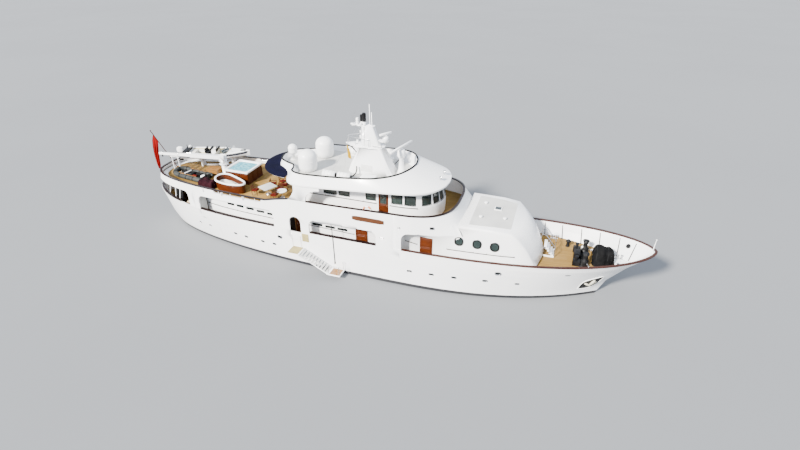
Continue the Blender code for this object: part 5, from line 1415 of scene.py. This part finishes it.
for number, (x, y, turn) in enumerate(CHAIRS):
    place = turned(x, y, BRIDGE_DECK, turn)
    for dx, head_x, head_z in ((-0.22, -0.22, 0.6), (0.22, 0.253, 0.86)):
        for dy in (-0.22, 0.22):
            bar(frames_mesh, [place @ Vector((dx, dy, 0)), place @ Vector((head_x, dy, head_z))], 0.022, 6)
    block(frames_mesh, -0.25, 0.25, -0.24, 0.24, 0.38, 0.42, 0.01, place)
    for height in (0.62, 0.74, 0.84):
        block(frames_mesh, 0.225, 0.25, -0.22, 0.22, height - 0.04, height + 0.02, 0.006, place)
    for dy in (-0.23, 0.23):
        block(frames_mesh, -0.25, 0.25, dy - 0.025, dy + 0.025, 0.6, 0.63, 0.008, place)
    pad = made_of("chair_cushion_%d" % number, "red_cushion", (block, -0.22, 0.21, -0.2, 0.2, 0.425, 0.5, 0.03, place),
                  smooth=60.0)
new_piece("chair_frames", frames_mesh, "varnished_mahogany")
print("chairs:", len(CHAIRS))

# %% [markdown]
# The rail of the after deck is open below where the side drops away, so it stands on short posts there. The posts
# are set out by the node tree, at a pace and a half apart.

# %% Rail posts
def rail_line_of(node, x0, x1, low, high, side, count=24):
    """Points on a rail's centre line, found by casting lines at its outer edge."""
    line = []
    for k in range(count + 1):
        x = x0 + (x1 - x0) * k / count
        for j in range(16):
            z = low + (high - low) * j / 15
            spot, _ = from_side(node, x, z, side)
            if spot is not None:
                line.append(Vector((x, spot.y - side * 0.07, z)))
                break
    return line


posts = [rail_line_of("bridge_rail_aft", -15.4, -8.0, 5.68, 5.9, side) for side in (-1, 1)]
repeated("after_rail_posts", POSTS, [[p - up(0.01) for p in line] for line in posts], "white_paint",
         Spacing=1.22, Radius=0.026, Height=0.45)
made_of("after_rail_wires", "stainless", *((bar, [p - up(0.2) for p in line], 0.014, 6) for line in posts))
rows = []
for k in range(-16, 17):
    x, y = polar(97 * k / 16, -1.0)
    spot, _ = touch("shell_stern", (-17.0, 0.0, 5.45), (x, y, 0.0))
    if spot is not None:
        out = Vector((x, y, 0.0))
        rows.append(strip_row(spot - out * 0.015, spot - out * 0.5, 5.252, 5.27))
made_of("stern_waterway", "white_paint", (loft, rows))
fittings = bmesh.new()
for x in (-14.6, -12.6, -10.4):
    for side in (-1, 1):
        spot = rail_line_of("bridge_rail_aft", x, x + 0.01, 5.68, 5.9, side, 1)[0]
        block(fittings, x - 0.09, x + 0.09, spot.y - 0.06, spot.y + 0.06, 5.3, 5.62, 0.03)
        bar(fittings, [(x, spot.y + side * 0.08, 5.66), (x, spot.y + side * 0.12, 5.4)], 0.035, 8)
new_piece("rail_fairleads", fittings, "white_plastic")

# %% [markdown]
# ## Top deck
# The top deck's floor has grey non-slip paint up to a hand's breadth from the coaming. Straps hold the liferafts,
# and each satellite dome has a seam round its middle and a flange at its foot.

# %% Top deck details
LAYER = 0.012


def skin(mesh, node, rows_xy):
    """A layer of paint that lies on a node's upper surface, over a grid of places seen from above."""
    grid = []
    for row in rows_xy:
        line = []
        for x, y in row:
            spot = from_above(node, x, y)
            line.append(mesh.verts.new((x, y, (line[-1].co.z if spot is None else spot.z) + LAYER)))
        grid.append(line)
    close_sheet(mesh, grid, lambda v: v.co - up(LAYER), start=3)
    return mesh


coaming_half = smooth_line([(*p, 0.0) for p in COAMING], 60)
inner_line = [p for p in offset_in_plan(coaming_half, 0.34) if p.y < -0.05]
outline = [(p.x, p.y) for p in inner_line] + [(p.x, -p.y) for p in reversed(inner_line)]
made_of("top_deck_paint", "grey_deck_paint", (plate, outline, TOP_DECK - 0.015, TOP_DECK + 0.005, Matrix.Identity(4)))
rafts = [(x, y) for y in (-2.55, 2.55) for x in (-2.8, -1.5)]
made_of("liferaft_straps", "pale_deck_paint",
        *((spun, [(0.318, -0.025), (0.328, -0.025), (0.328, 0.025), (0.318, 0.025)],
           turned(x + dx, y, 8.28, 90, "Y"), 24) for x, y in rafts for dx in (-0.3, 0.0, 0.3)))
made_of("liferaft_ends", "black_rubber",
        *((spun, [(0.0, -0.008), (0.19, -0.008), (0.19, 0.008), (0.0, 0.008)], turned(x + dx, y, 8.28, 90, "Y"), 20)
          for x, y in rafts for dx in (-0.553, 0.553)))
DOME, SEAM, FOOT = 0.77, 8.75, 7.93  # radius of the big domes, and heights of their seam and of their flange
seams = bmesh.new()
for y in (-1.55, 1.55):
    spun(seams, [(DOME - 0.02, SEAM - 0.02), (DOME + 0.014, SEAM - 0.012), (DOME + 0.014, SEAM + 0.012),
                 (DOME - 0.02, SEAM + 0.02)], at(-5.2, y, 0), 36)
    spun(seams, [(0.54, FOOT), (0.63, FOOT), (0.63, FOOT + 0.05), (0.54, FOOT + 0.05)], at(-5.2, y, 0), 30)
spun(seams, [(0.13, 7.91), (0.24, 7.91), (0.24, 7.95), (0.13, 7.97)], at(-7.45, 0, 0), 20)
spun(seams, [(0.37, 8.93), (0.392, 8.94), (0.392, 8.97), (0.37, 8.98)], at(-7.45, 0, 0), 28)
new_piece("dome_seams", seams, "pale_deck_paint")
hose = [(-1.05, -1.12, 8.62), (-1.02, -1.2, 8.35), (-1.05, -1.36, 8.12), (-1.16, -1.56, 7.98), (-1.32, -1.76, 7.96),
        (-1.55, -1.95, 7.96)]
rungs = [(1.28 + 0.16 * k, 8.06 + 0.175 * k) for k in range(5)]
made_of("vent_pipe_and_steps", "dark_gear", (bar, smooth_line(hose, 18), 0.05, 10),
        *((bar, [(1.15, y, 7.92), (2.0, y, 8.85)], 0.03, 8) for y in (1.5, 2.0)),
        *((bar, [(x, 1.5, z), (x, 2.0, z)], 0.022, 6) for x, z in rungs),
        *((block, x - 0.13, x + 0.13, y - 0.13, y + 0.13, TOP_DECK, 8.12, 0.03)
          for x, y in ((1.9, -1.6), (0.4, -2.4), (0.4, 2.4))))
made_of("top_deck_lockers", "white_plastic", (block, -0.3, 0.9, -2.3, -1.6, TOP_DECK, 8.3, 0.05),
        (block, -0.3, 0.9, 1.6, 2.3, TOP_DECK, 8.3, 0.05), (block, -6.4, -5.9, -0.5, 0.5, TOP_DECK, 8.2, 0.05))
print("top deck outline points:", len(outline))

# %% [markdown]
# ## Mast gear
# The mast carries lights, horns, domed aerials and a ladder, with stays and a halyard. The horns are white trumpets
# that point ahead.

# %% Mast details
HEAD_Z = 11.72
pale = [(spun, [(0.0, -r), (r, -r), (r, -r * 0.5), (r * 0.8, -r * 0.4), (r * 0.8, r * 0.4), (r, r * 0.5), (r, r),
                (0.0, r * 1.3)], at(x, y, z), 12)
        for x, y, z, r in ((-1.08, 0.0, 10.72, 0.09), (-1.06, 0.0, 11.15, 0.08), (-1.5, -0.28, 10.2, 0.09),
                           (-1.5, 0.28, 10.2, 0.09))]
dark = [(spun, [(0.0, 9.86), (0.13, 9.88), (0.13, 9.995), (0.0, 9.995)], at(-1.75, y, 0), 14) for y in (-0.3, 0.3)]
dark += [(bar, [(-0.62, y, 10.1), (-0.62, y * 0.77, 11.64)], 0.02, 6) for y in (-0.4, 0.4)]
dark.append((bar, [(-2.1, 0.0, 9.97), (-1.3, 0.0, 9.1)], 0.045, 8))
for x, y, radius, height, upper in ((-1.25, -0.12, 0.09, 0.55, pale), (-1.0, 0.14, 0.10, 0.75, dark),
                                    (-0.72, -0.03, 0.13, 0.95, dark)):
    for steps, low, high in ((pale, 0.0, 0.3), (upper, 0.3, 1.0)):
        tiers = [(0.0, HEAD_Z + height * low)]
        for k in range(2):
            z0, z1 = (HEAD_Z + height * (low + (high - low) * j / 2) for j in (k, k + 1))
            tiers += [(radius + 0.035, z0), (radius + 0.035, z1 - 0.07), (radius + 0.012, z1 - 0.06),
                      (radius + 0.012, z1 - 0.005)]
        tiers += [(radius * 0.6, HEAD_Z + 0.01 + height * high), (0.0, HEAD_Z + 0.015 + height * high)]
        steps.append((spun, tiers, at(x, y, 0), 14))
pale.append((bar, [(-1.6, -0.42, 11.74), (-0.3, 0.6, 11.74)], 0.07, 10))
pale += [(spun, [(0.0, 0.0), (0.08, 0.0), (0.1, 0.1), (0.05, 0.2), (0.0, 0.21)], at(x, -0.28, 11.76), 12)
         for x in (-0.9, -0.6)]
made_of("mast_fittings", "white_plastic", *pale)
PLATFORM = [(0.9, 0.35), (0.5, 0.6), (-1.2, 0.58), (-2.3, 0.05), (-2.3, -0.05), (-1.2, -0.58), (0.5, -0.6),
            (0.9, -0.35)]
made_of("mast_lamps_and_cables", "dark_gear", *dark,
        (plate, [(x * 0.9 - 0.08, y * 0.86) for x, y in PLATFORM], 9.985, 9.999, Matrix.Identity(4)))
horns = bmesh.new()
for y, length in ((-0.53, 0.7), (0.53, 0.55)):
    spun(horns, [(0.0, -0.1), (0.05, -0.1), (0.05, 0.0), (0.025, 0.04), (0.03, length * 0.6), (0.06, length * 0.9),
                 (0.1, length), (0.09, length), (0.02, length * 0.7), (0.0, length * 0.7)],
         turned(0.15, y, 10.28, 90, "Y"), 14)
    bar(horns, [(0.25, y, 10.1), (0.25, y, 10.28)], 0.02, 6)
new_piece("horns", horns, "white_plastic")
rungs = [(-1.77 + 0.72 * k / 7, 8.6 + 1.35 * k / 7) for k in range(8)]
made_of("mast_rungs_rails_and_stays", "stainless",
        *((bar, [(x, -0.2, z), (x - 0.07, -0.2, z), (x - 0.07, 0.2, z), (x, 0.2, z)], 0.016, 6) for x, z in rungs),
        *((bar, [(-0.2, y * 1.1, 10.09), (-0.2, y * 1.1, 10.75), (-1.4, y * 0.95, 10.75), (-2.2, y * 0.25, 10.7),
                 (-2.2, y * 0.25, 10.09)], 0.02, 6) for y in (-0.5, 0.5)),
        (bar, [(-1.55, 0.16, 11.73), (-1.55, 0.16, 12.7)], [0.016, 0.008], 6),
        (bar, [(-1.6, -0.16, 11.73), (-1.6, -0.16, 12.5)], [0.016, 0.008], 6),
        (bar, [(-2.28, -0.12, 9.99), (-2.3, -0.12, 9.85), (-2.45, -0.4, 7.95)], 0.008, 5),
        *((bar, [(-1.2, side * 0.24, 11.68), (-2.9, side * 2.2, 8.05)], 0.009, 5) for side in (-1, 1)))
spots = [touch("mast", (-0.3, side * 4.0, 8.2 + 0.09 * k), (0, -side, 0)) for side in (-1, 1) for k in range(6)]
made_of("mast_louvres", "grey_deck_paint",
        *((block, -0.5, 0.5, -0.014, 0.014, -0.02, 0.03, 0.0, facing(*spot)) for spot in spots))
for name, centre, span, heading in (("upper", (1.05, 0.0, 10.98), 1.15, 58.0),
                                    ("lower", (2.35, 0.0, 10.05), 3.1, 76.0)):
    made_of("radar_face_" + name, "blue_grey_paint",
            (block, -span / 2 + 0.04, span / 2 - 0.04, 0.088, 0.1, 0.135, 0.265, 0.0, turned(*centre, heading)),
            body="radar_scanner_" + name)
lamps = bmesh.new()
for y in (-0.58, 0.58):
    spot = from_above("top_deck", 5.72, y, 12.0)
    bar(lamps, [spot, spot + up(0.16)], 0.03, 8)
    spun(lamps, [(0.0, 0.0), (0.08, 0.02), (0.13, 0.1), (0.13, 0.2), (0.11, 0.2), (0.1, 0.18), (0.0, 0.18)],
         turned(5.64, y, spot.z + 0.24, 90, "Y"), 16)
new_piece("searchlights", lamps, "stainless")
print("mast gear made")

# %% [markdown]
# ## Roof of the fore house
# The roof ahead of the bridge is walked on, so it has a grey non-slip area, a hatch and a few vents. The layer is laid
# on the curved roof by casting lines down at it.

# %% Roof details
patch_rows = []
for i in range(19):
    x = 8.55 + 3.1 * i / 18
    half = 2.5 - 0.32 * max(0.0, (x - 8.6) / 3.0) ** 1.5
    patch_rows.append([(x, half * (2 * k / 16 - 1)) for k in range(17)])
new_piece("roof_nonslip", skin(bmesh.new(), "fore_house", patch_rows), "grey_deck_paint")


hatch_z = from_above("fore_house", 10.28, 0.6).z
made_of("roof_hatch_and_vents", "white_plastic", (block, 9.98, 10.58, 0.3, 0.9, hatch_z - 0.05, hatch_z + 0.07, 0.025),
        *((spun, [(0.0, -0.02), (0.07, -0.02), (0.07, 0.08), (0.15, 0.1), (0.13, 0.16), (0.0, 0.19)],
           at(*from_above("fore_house", x, y)), 16) for x, y in ((9.2, -1.2), (9.2, 1.2), (11.0, -0.9))))
made_of("roof_hatch_glass", "tinted_glass", (block, 10.05, 10.51, 0.37, 0.83, hatch_z + 0.065, hatch_z + 0.08, 0.006))
print("roof patch rows:", len(patch_rows))

# %% [markdown]
# ## Foredeck
# The anchors are worked here. A chain runs from each drum of the windlass to its pipe, set out link by link by the
# node tree. Gear aft of the stem lies under a dark cover, and thin stays brace the bulwark.

# %% Windlass, chain and bollards
def deck_spot(x, y):
    """A place on the main deck's planks; near the stem it moves inboard until there is deck under it."""
    spot = None
    while spot is None:
        spot = from_above("main_deck", x, y)
        x, y = x - 0.03, y * 0.94
    return spot


dark = bmesh.new()
base_z = deck_spot(16.65, 0.3).z
for y in (-0.95, 0.95):
    low = deck_spot(17.25, y).z
    for z0, r in ((0.4, 0.30), (0.16, 0.31)):
        spun(dark, [(r - 0.03, z0), (r, z0), (r, z0 + 0.05), (r - 0.03, z0 + 0.05)], at(17.25, y, low), 24)
    block(dark, 16.4, 16.93, y - 0.24, y + 0.24, low - 0.03, low + 0.4, 0.05)
    spun(dark, [(0.0, 0.0), (0.1, 0.0), (0.1, 0.3), (0.14, 0.32), (0.14, 0.4), (0.0, 0.42)],
         at(16.65, y, low + 0.34), 16)
block(dark, 16.45, 16.92, -0.4, 0.4, base_z - 0.02, base_z + 0.62, 0.06)
spun(dark, [(0.0, 0.0), (0.17, 0.0), (0.13, 0.1), (0.12, 0.34), (0.2, 0.44), (0.2, 0.52), (0.12, 0.6), (0.0, 0.62)],
     at(*deck_spot(16.0, 1.62)), 18)
new_piece("windlass_motors", dark, "dark_gear")
CHAIN_RUN = [
    # x, part of the drum's y, height above the deck
    (17.45, 1.24, 0.3), (17.58, 1.3, 0.16), (17.72, 1.36, 0.12), (17.9, 1.42, 0.12),
]
chains = [[Vector((x, y * part, deck_spot(17.5, y * 1.3).z + rise)) for x, part, rise in CHAIN_RUN]
          for y in (-0.95, 0.95)]
repeated("anchor_chain", CHAIN, chains, "stainless", Pitch=0.1, Wire=0.017)
pipes = bmesh.new()
for y in (-1.36, 1.36):
    spun(pipes, [(0.0, -0.02), (0.2, -0.02), (0.22, 0.02), (0.2, 0.06), (0.12, 0.07), (0.09, 0.0), (0.0, 0.0)],
         at(*deck_spot(18.0, y)), 20)
for x, y in ((19.75, 0.62), (19.75, -0.62), (14.9, 2.6), (14.9, -2.6)):
    z = deck_spot(x, y).z
    block(pipes, x - 0.28, x + 0.28, y - 0.1, y + 0.1, z - 0.02, z + 0.04, 0.015)
    for dx in (-0.17, 0.17):
        spun(pipes, [(0.07, 0.0), (0.06, 0.05), (0.06, 0.26), (0.09, 0.28), (0.09, 0.32), (0.0, 0.34)],
             at(x + dx, y, z + 0.03), 14)
new_piece("chain_pipes_and_bollards", pipes, "stainless")

# %% Foredeck cover
COVER = [
    # x, half width, height above the deck
    (17.77, 0.66, 0.62), (17.9, 0.89, 1.17), (18.25, 0.91, 1.34), (18.65, 0.84, 1.19), (18.95, 0.73, 1.19),
    (19.25, 0.51, 0.93), (19.35, 0.41, 0.33),
]
rows = []
for x, half, rise in smooth_line(COVER, 45):
    row = []
    for k in range(41):
        s = 2 * k / 40 - 1
        low = 0.715 * sheer(x) + 0.09
        round_over = (1 - abs(s) ** 3.2) ** 0.5 if abs(s) < 1 else 0.0
        lumps = 0.05 * math.sin(9 * x + 2 * s) * round_over - 0.09 * math.exp(-((x - 18.25) / 0.16) ** 2) * round_over
        pleat = 0.022 * math.sin(5.5 * x * math.pi + 6 * s) * abs(s) ** 2
        wide = half * (1.0 + 0.03 * math.sin(13 * x) * abs(s))
        row.append(Vector((x, s * (wide + pleat), max(low, low + (rise - 0.12) * round_over + lumps * 0.6 - 0.005))))
    rows.append(row)
cover_piece, cover_area = cloth_piece("foredeck_cover_cloth", rows, "dark_canvas", 0.012)
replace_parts(cover_piece, "foredeck_cover")
nearest = [min(rows, key=lambda row: abs(row[0].x - x)) for x in (17.35, 18.05, 18.8)]
made_of("cover_lashings", "dark_gear", *((bar, [p + up(0.012) for p in row[1:-1]], 0.022, 6) for row in nearest))
made_of("mooring_buoy", "white_plastic",
        (spun, [(0.0, -0.2), (0.12, -0.17), (0.19, -0.07), (0.2, 0.0), (0.19, 0.07), (0.12, 0.17), (0.0, 0.2)],
         at(17.15, 0.95, deck_spot(16.9, 0.9).z + 0.42), 18), smooth=60.0)
print("foredeck cover area", round(cover_area, 2))

# %% [markdown]
# Stairs lead from the foredeck up to the roof, with bright rails. Stays run from the bulwark's top down to the deck
# at even steps, drawn dark as painted shade for the shadow lines they make, and the last metre of deck inside the stem
# is painted white.

# %% Stairs and stays
rails, treads = bmesh.new(), bmesh.new()
for y in (-0.35, 0.75):
    foot, head = deck_spot(15.05, y), Vector((14.2, y, 3.95))
    bar(rails, [foot, foot + up(0.85), head + Vector((0.05, 0, 0.75)), head + Vector((-0.28, 0, 0.8)),
                head + Vector((-0.34, 0, 0.35))], 0.03, 8)
    bar(rails, [foot + Vector((-0.4, 0, 0.35)), foot + Vector((-0.4, 0, 1.2))], 0.022, 6)
    low = deck_spot(14.9, y).z
    block(treads, 14.16, 15.05, y - 0.02, y + 0.02, low - 0.01, low + 0.12)
for t in (0.1, 0.3, 0.5, 0.7, 0.9):
    x, z = 14.95 - 0.72 * t, deck_spot(14.9, 0.2).z + 0.95 * t
    block(treads, x - 0.11, x + 0.11, -0.34, 0.74, z - 0.02, z + 0.02, 0.008)
new_piece("foredeck_stair_rails", rails, "stainless")
new_piece("foredeck_stair_treads", treads, "white_plastic")
stays = bmesh.new()
stay_count = 0
# The stays are white on the yacht. Their dark colour is painted shade for the shadow lines along them.
for side in (-1, 1):
    for x in (14.0, 15.4, 16.9, 18.3, 19.7, 20.8):
        spot, _ = touch("bulwark_bow", (x, 0.0, sheer(x) - 0.12), (0, side, 0))
        if spot is None:
            continue
        foot = deck_spot(x + 0.12, spot.y - side * min(0.55, abs(spot.y) * 0.55))
        bar(stays, [spot + Vector((0, side * 0.01, 0)), foot - up(0.01)], 0.032, 8)
        spun(stays, [(0.0, 0.0), (0.08, 0.0), (0.07, 0.02), (0.0, 0.03)], at(foot.x, foot.y, foot.z - 0.005), 12)
        stay_count += 1
    spot, normal = touch("bulwark_bow", (20.3, 0.0, 3.98), (0, side, 0))
    spun(stays, [(0.0, -0.02), (0.15, -0.02), (0.19, 0.01), (0.15, 0.05), (0.0, 0.05)], facing(spot, normal), 18)
new_piece("bulwark_stays_painted_shade", stays, "dark_gear")
ledge = bmesh.new()
for side in (-1, 1):
    line = []
    for k in range(57):
        x = 3.9 + 17.3 * k / 56
        for rise in (0.035, 0.06):
            top, _ = from_side("cap_rail_bow", x, sheer(x) + rise, side)
            if top is not None:
                line.append((x, top.y - side * 0.19, sheer(x) + 0.03))
                break
    bar(ledge, line, 0.045, 8)
new_piece("bow_cap_moulding", ledge, "cap_varnish")
white_rows = []
for k in range(9):
    x = 19.42 + 0.98 * k / 8
    spot, _ = touch("bulwark_bow", (x, 0.0, deck_spot(x, 0.0).z + 0.25), (0, 1, 0))
    reach = (spot.y if spot is not None else 0.5) * 0.8
    white_rows.append([tuple(deck_spot(x, reach * (2 * j / 8 - 1)).xy) for j in range(9)])
new_piece("stem_deck_paint", skin(bmesh.new(), "main_deck", white_rows), "white_paint")
tip = Vector((21.86, 0.0, sheer(21.8) + 0.04))
made_of("jackstaff", "white_paint",
        (bar, [tip + Vector((x, 0, z)) for x, z in ((-0.12, -0.2), (-0.12, 0.55), (-0.1, 0.95))],
         [0.035, 0.03, 0.015], 8),
        (spun, [(0.0, -0.04), (0.04, -0.02), (0.045, 0.0), (0.04, 0.03), (0.0, 0.05)],
         at(tip.x - 0.1, 0, tip.z + 0.98), 12))
low = deck_spot(20.3, 0.0).z
made_of("stem_locker", "white_paint", (block, 20.2, 20.5, -0.1, 0.1, low, low + 0.22, 0.03))
print("stays:", stay_count)

# %% [markdown]
# ## Anchor pockets
# The galvanised anchors stow in recesses in the bow. Each recess shows as a dark plate with a white rolled edge.

# %% Pocket plates
POCKET = [(17.15, 0.98), (17.4, 1.95), (17.95, 2.35), (18.75, 2.56), (18.68, 1.95), (18.42, 1.25), (17.8, 0.92)]
POCKET_MIDDLE = (17.98, 1.72)
pocket_line = smooth_line([(x, z, 0.0) for x, z in POCKET + POCKET[:1]], 25)[:-1]
pocket_dark, pocket_edge = bmesh.new(), bmesh.new()
for side in (-1, 1):
    ring = [on_side("hull", p.x, p.y, side) for p in pocket_line]
    spot, normal = on_side("hull", *POCKET_MIDDLE, side)
    outer = [pocket_dark.verts.new(s + n * 0.012) for s, n in ring]
    inner = [pocket_dark.verts.new(s - n * 0.03) for s, n in ring]
    middle_out, middle_in = pocket_dark.verts.new(spot + normal * 0.014), pocket_dark.verts.new(spot - normal * 0.03)
    for k in range(len(outer)):
        j = (k + 1) % len(outer)
        pocket_dark.faces.new((outer[k], outer[j], middle_out))
        pocket_dark.faces.new((inner[j], inner[k], middle_in))
        pocket_dark.faces.new((outer[k], inner[k], inner[j], outer[j]))
    bar(pocket_edge, [s + n * 0.012 for s, n in ring], 0.03, 8, closed=True)
new_piece("anchor_pockets", pocket_dark, "dark_gear")
new_piece("anchor_pocket_edges", pocket_edge, "white_paint")

# %% [markdown]
# ## Boarding gate and side decks
# Guests board over a ladder that hangs at the gate in the bulwark. A white leaf is folded back beside the gate, a
# varnished door leads into the house behind it, and a line from two short arms lifts the ladder.

# %% Gate and ladder details
LADDER_TOP, LADDER_RUN = (-4.9, 1.75), (2.5, -1.33)
doors, frames_mesh, shade_panels = bmesh.new(), bmesh.new(), bmesh.new()
steel = []
for side in (-1, 1):
    place = facing((0, side * 3.045, 0), (0, side, 0))
    outline = rounded(1.0, 1.9, 0.1, 4, (side * 5.6, 3.62))
    plate(doors, outline, 0.0, 0.03, place)
    frame_ring(frames_mesh, outline, 0.03, 0.03, place)
    # A dark panel on the house wall, aft of each door, is painted shade inside the gate's opening.
    plate(shade_panels, rounded(1.28, 1.95, 0.06, 4, (side * 6.75, 3.66)), 0.0, 0.02, place)
    steel.append((bar, [(-5.9, side * 3.02, 3.55), (-5.9, side * 3.1, 3.55), (-5.9, side * 3.1, 3.4)], 0.014, 6))
steel += [(bar, [(x, -3.98, 4.62), (x, -4.07, 4.56), (x, -4.07, 4.3)], 0.02, 6) for x in (-2.24, -1.86)]
steel += [(bar, [(x, -4.02, 3.02), (x, -4.07, 2.95), (x + 0.03, -4.07, 1.81)], 0.012, 6) for x in (-6.0, -5.2)]
new_piece("house_entry_doors", doors, "varnished_mahogany")
new_piece("entry_frames", frames_mesh, "light_varnish")
new_piece("entry_painted_shade_panels", shade_panels, "dark_rail")
made_of("ladder_hoist_line", "dark_gear", (bar, [(-2.18, -4.07, 4.5), (-2.14, -4.07, 0.95)], 0.032, 8))
leaves = bmesh.new()
for side in (-1, 1):
    spot, _ = on_side("bulwark_" + WORD[side], -6.3, 3.0, side)
    block(leaves, -6.085, -5.065, *sorted((spot.y, spot.y - side * 0.06)), 2.5, 3.24, 0.01)
new_piece("gate_leaves", leaves, "white_paint")
spot, _ = on_side("bulwark_stbd", -4.8, 3.0, -1)
made_of("stage_mat_and_board", "straw_matting", (block, -5.02, -4.42, spot.y - 0.035, spot.y + 0.005, 2.45, 3.2, 0.01),
        (block, -5.95, -5.0, -5.1, -4.06, 1.803, 1.815))
treads = [[start + run * (k + 0.5) / 10 for start, run in zip(LADDER_TOP, LADDER_RUN)] for k in range(10)]
made_of("ladder_treads", "grey_deck_paint",
        *((block, x - 0.1, x + 0.1, -5.06, -4.18, z + 0.016, z + 0.026) for x, z in treads), body="ladder_flight")
made_of("landing_grating", "light_varnish", (block, -2.22, -1.32, -5.08, -4.21, 0.441, 0.452), body="ladder_landing")
made_of("ladder_arms_and_wire", "stainless", *steel)
made_of("ladder_wire_weight", "dark_gear", (spun, [(0.0, -0.12), (0.05, -0.1), (0.05, 0.1), (0.0, 0.12)],
                                            at(-2.14, -4.08, 0.9) @ Matrix.Diagonal((1, 0.6, 1, 1)), 10))
posts = [(-2.25, -5.08), (-1.32, -5.08), (-1.32, -4.2)]
made_of("landing_posts", "stainless", *((bar, [(x, y, 0.43), (x, y, 1.28)], 0.02, 8) for x, y in posts),
        (bar, [(x, y, 1.26) for x, y in posts], 0.014, 6), body="ladder_landing")

# %% Lifebuoys and lamps
def buoy_arc(side, start, end):
    """Places round the lifebuoy on one side, from one angle to another."""
    return [Vector((0.85 + x, side * 3.74, 6.3 + z)) for x, z in (polar(a, 0.3) for a in range(start, end, 15))]


made_of("lifebuoys", "white_plastic",
        *((bar, buoy_arc(side, 0, 360), 0.075, 10, True) for side in (-1, 1)), smooth=60.0)
made_of("lifebuoy_bands", "orange_plastic",
        *((bar, buoy_arc(side, start, start + 46), 0.08, 10) for side in (-1, 1) for start in (30, 120, 210, 300)),
        smooth=60.0)
lamps, housings = bmesh.new(), bmesh.new()
for side in (-1, 1):
    for x, z, width, height in ((3.5, 5.37, 0.16, 0.12), (6.0, 5.6, 0.3, 0.2)):
        place = facing(*on_side("portuguese_bridge", x, z, side))
        plate(housings, rounded(width, height, 0.03, 3), -0.01, 0.05, place)
        frame_ring(lamps, rounded(width, height, 0.03, 3), 0.014, 0.05, place)
new_piece("side_lights", housings, "dark_gear")
new_piece("side_light_rims", lamps, "stainless")

# %% [markdown]
# ## Fantail and bridge inside
# The round opening at the stern shows a shaded deck with seats and three slanted stays on each side. Its shade is
# painted: a dark screen inside the bulwark and a varnished bulkhead, drawn nearly black, stand for it. A console and
# chairs stand behind the wheelhouse windows.

# %% Fantail
rows = []
# The dark screen is painted shade: a dark sheet inside the stern bulwark, where the deck lies in shade.
for k in range(25):
    x, y = polar(180 * k / 24 - 90, 1.0)
    rows.append([Vector((-18.2 - r * x, (r + 0.1) * y, z))
                 for r, z in ((2.3, 2.62), (2.3, 4.93), (2.24, 4.93), (2.24, 2.62))])
made_of("fantail_painted_shade_screen", "dark_gear", (loft, rows), smooth=50.0)
# The varnished bulkhead is drawn nearly black as painted shade.
made_of("fantail_bulkhead_painted_shade", "dark_rail", (block, -16.35, -16.25, -2.9, 2.9, 2.62, 4.95, 0.02))
made_of("fantail_seats", "light_varnish", (block, -17.7, -16.7, -2.75, -1.6, 2.6, 3.3, 0.06),
        (block, -17.7, -16.7, 1.6, 2.75, 2.6, 3.3, 0.06), (block, -16.75, -16.5, -2.75, 2.75, 2.6, 3.85, 0.05))
stays = bmesh.new()
for side in (-1, 1):
    for x0, x1 in ((-20.3, -19.7), (-19.2, -18.7), (-18.6, -18.0)):
        y = touch("bulwark_stern", (x0, 0.0, 3.3), (0, side, 0))[0].y
        bar(stays, [(x0, y - side * 0.1, 3.0), (x1, y - side * 0.02, 4.95)], 0.045, 8)
new_piece("fantail_stays", stays, "white_paint")
for side in (-1, 1):
    pad = made_of("fantail_cushion_" + WORD[side], "beige_cushion",
                  (block, -17.65, -16.8, *sorted((side * 1.65, side * 2.7)), 3.31, 3.42, 0.035), smooth=60.0)
print("fantail made")

# %% Bridge inside
made_of("helm_console", "dark_gear", (block, 4.15, 4.75, -1.35, 1.35, 5.26, 6.3, 0.05),
        (block, 3.95, 4.3, -1.25, 1.25, 6.2, 6.36, 0.04))
chairs_mesh = bmesh.new()
for y in (-0.7, 0.7):
    spun(chairs_mesh, [(0.22, BRIDGE_DECK), (0.2, 5.3), (0.05, 5.34), (0.05, 5.8), (0.0, 5.82)], at(3.2, y, 0), 14)
    block(chairs_mesh, 2.95, 3.45, y - 0.25, y + 0.25, 5.8, 5.92, 0.04)
    block(chairs_mesh, 2.9, 3.02, y - 0.25, y + 0.25, 5.9, 6.6, 0.04)
new_piece("helm_chairs", chairs_mesh, "dark_gear")
print("bridge inside made")

# %% [markdown]
# ## Floor, light and size
# The yacht is shown on a plain pale floor at her waterline. One warm sun stands aft and to starboard, as in the
# photograph, and a pale sky fills the shadows.

# %% Floor and light
floor_mesh = bmesh.new()
block(floor_mesh, -600, 600, -600, 600, -0.02, 0.0)
data = bpy.data.meshes.new("floor")
floor_mesh.transform(Matrix.Scale(SCALE, 4))
bmesh.ops.recalc_face_normals(floor_mesh, faces=floor_mesh.faces[:])
floor_mesh.to_mesh(data)
floor_mesh.free()
tree, shader, place = new_finish("studio_floor", (0.17, 0.178, 0.186), 0.85)
salt = use_group(tree, SALT, place, Scale=0.05)
tree.links.new(mixed(tree, salt["Patches"], (0.17, 0.178, 0.186), (0.163, 0.171, 0.18)), shader.inputs["Base Color"])
tree.links.new(ramp_node(tree, salt["Patches"], 0.0, 1.0, 0.82, 0.9), shader.inputs["Roughness"])
data.materials.append(finishes["studio_floor"])
floor = bpy.data.objects.new("floor", data)
bpy.context.scene.collection.objects.link(floor)

sun = bpy.data.lights.new("sun", "SUN")
sun.energy = 17.5
sun.angle = math.radians(6)
sun.color = (1.0, 0.955, 0.89)
sun_object = bpy.data.objects.new("sun", sun)
sun_object.rotation_euler = Vector((-0.35, -0.75, 0.56)).to_track_quat("Z", "Y").to_euler()
bpy.context.scene.collection.objects.link(sun_object)

world = bpy.data.worlds.new("pale_sky")
world.use_nodes = True
sky = world.node_tree.nodes["Background"]
sky.inputs["Color"].default_value = (0.78, 0.86, 1.0, 1.0)
sky.inputs["Strength"].default_value = 1.9
bpy.context.scene.world = world
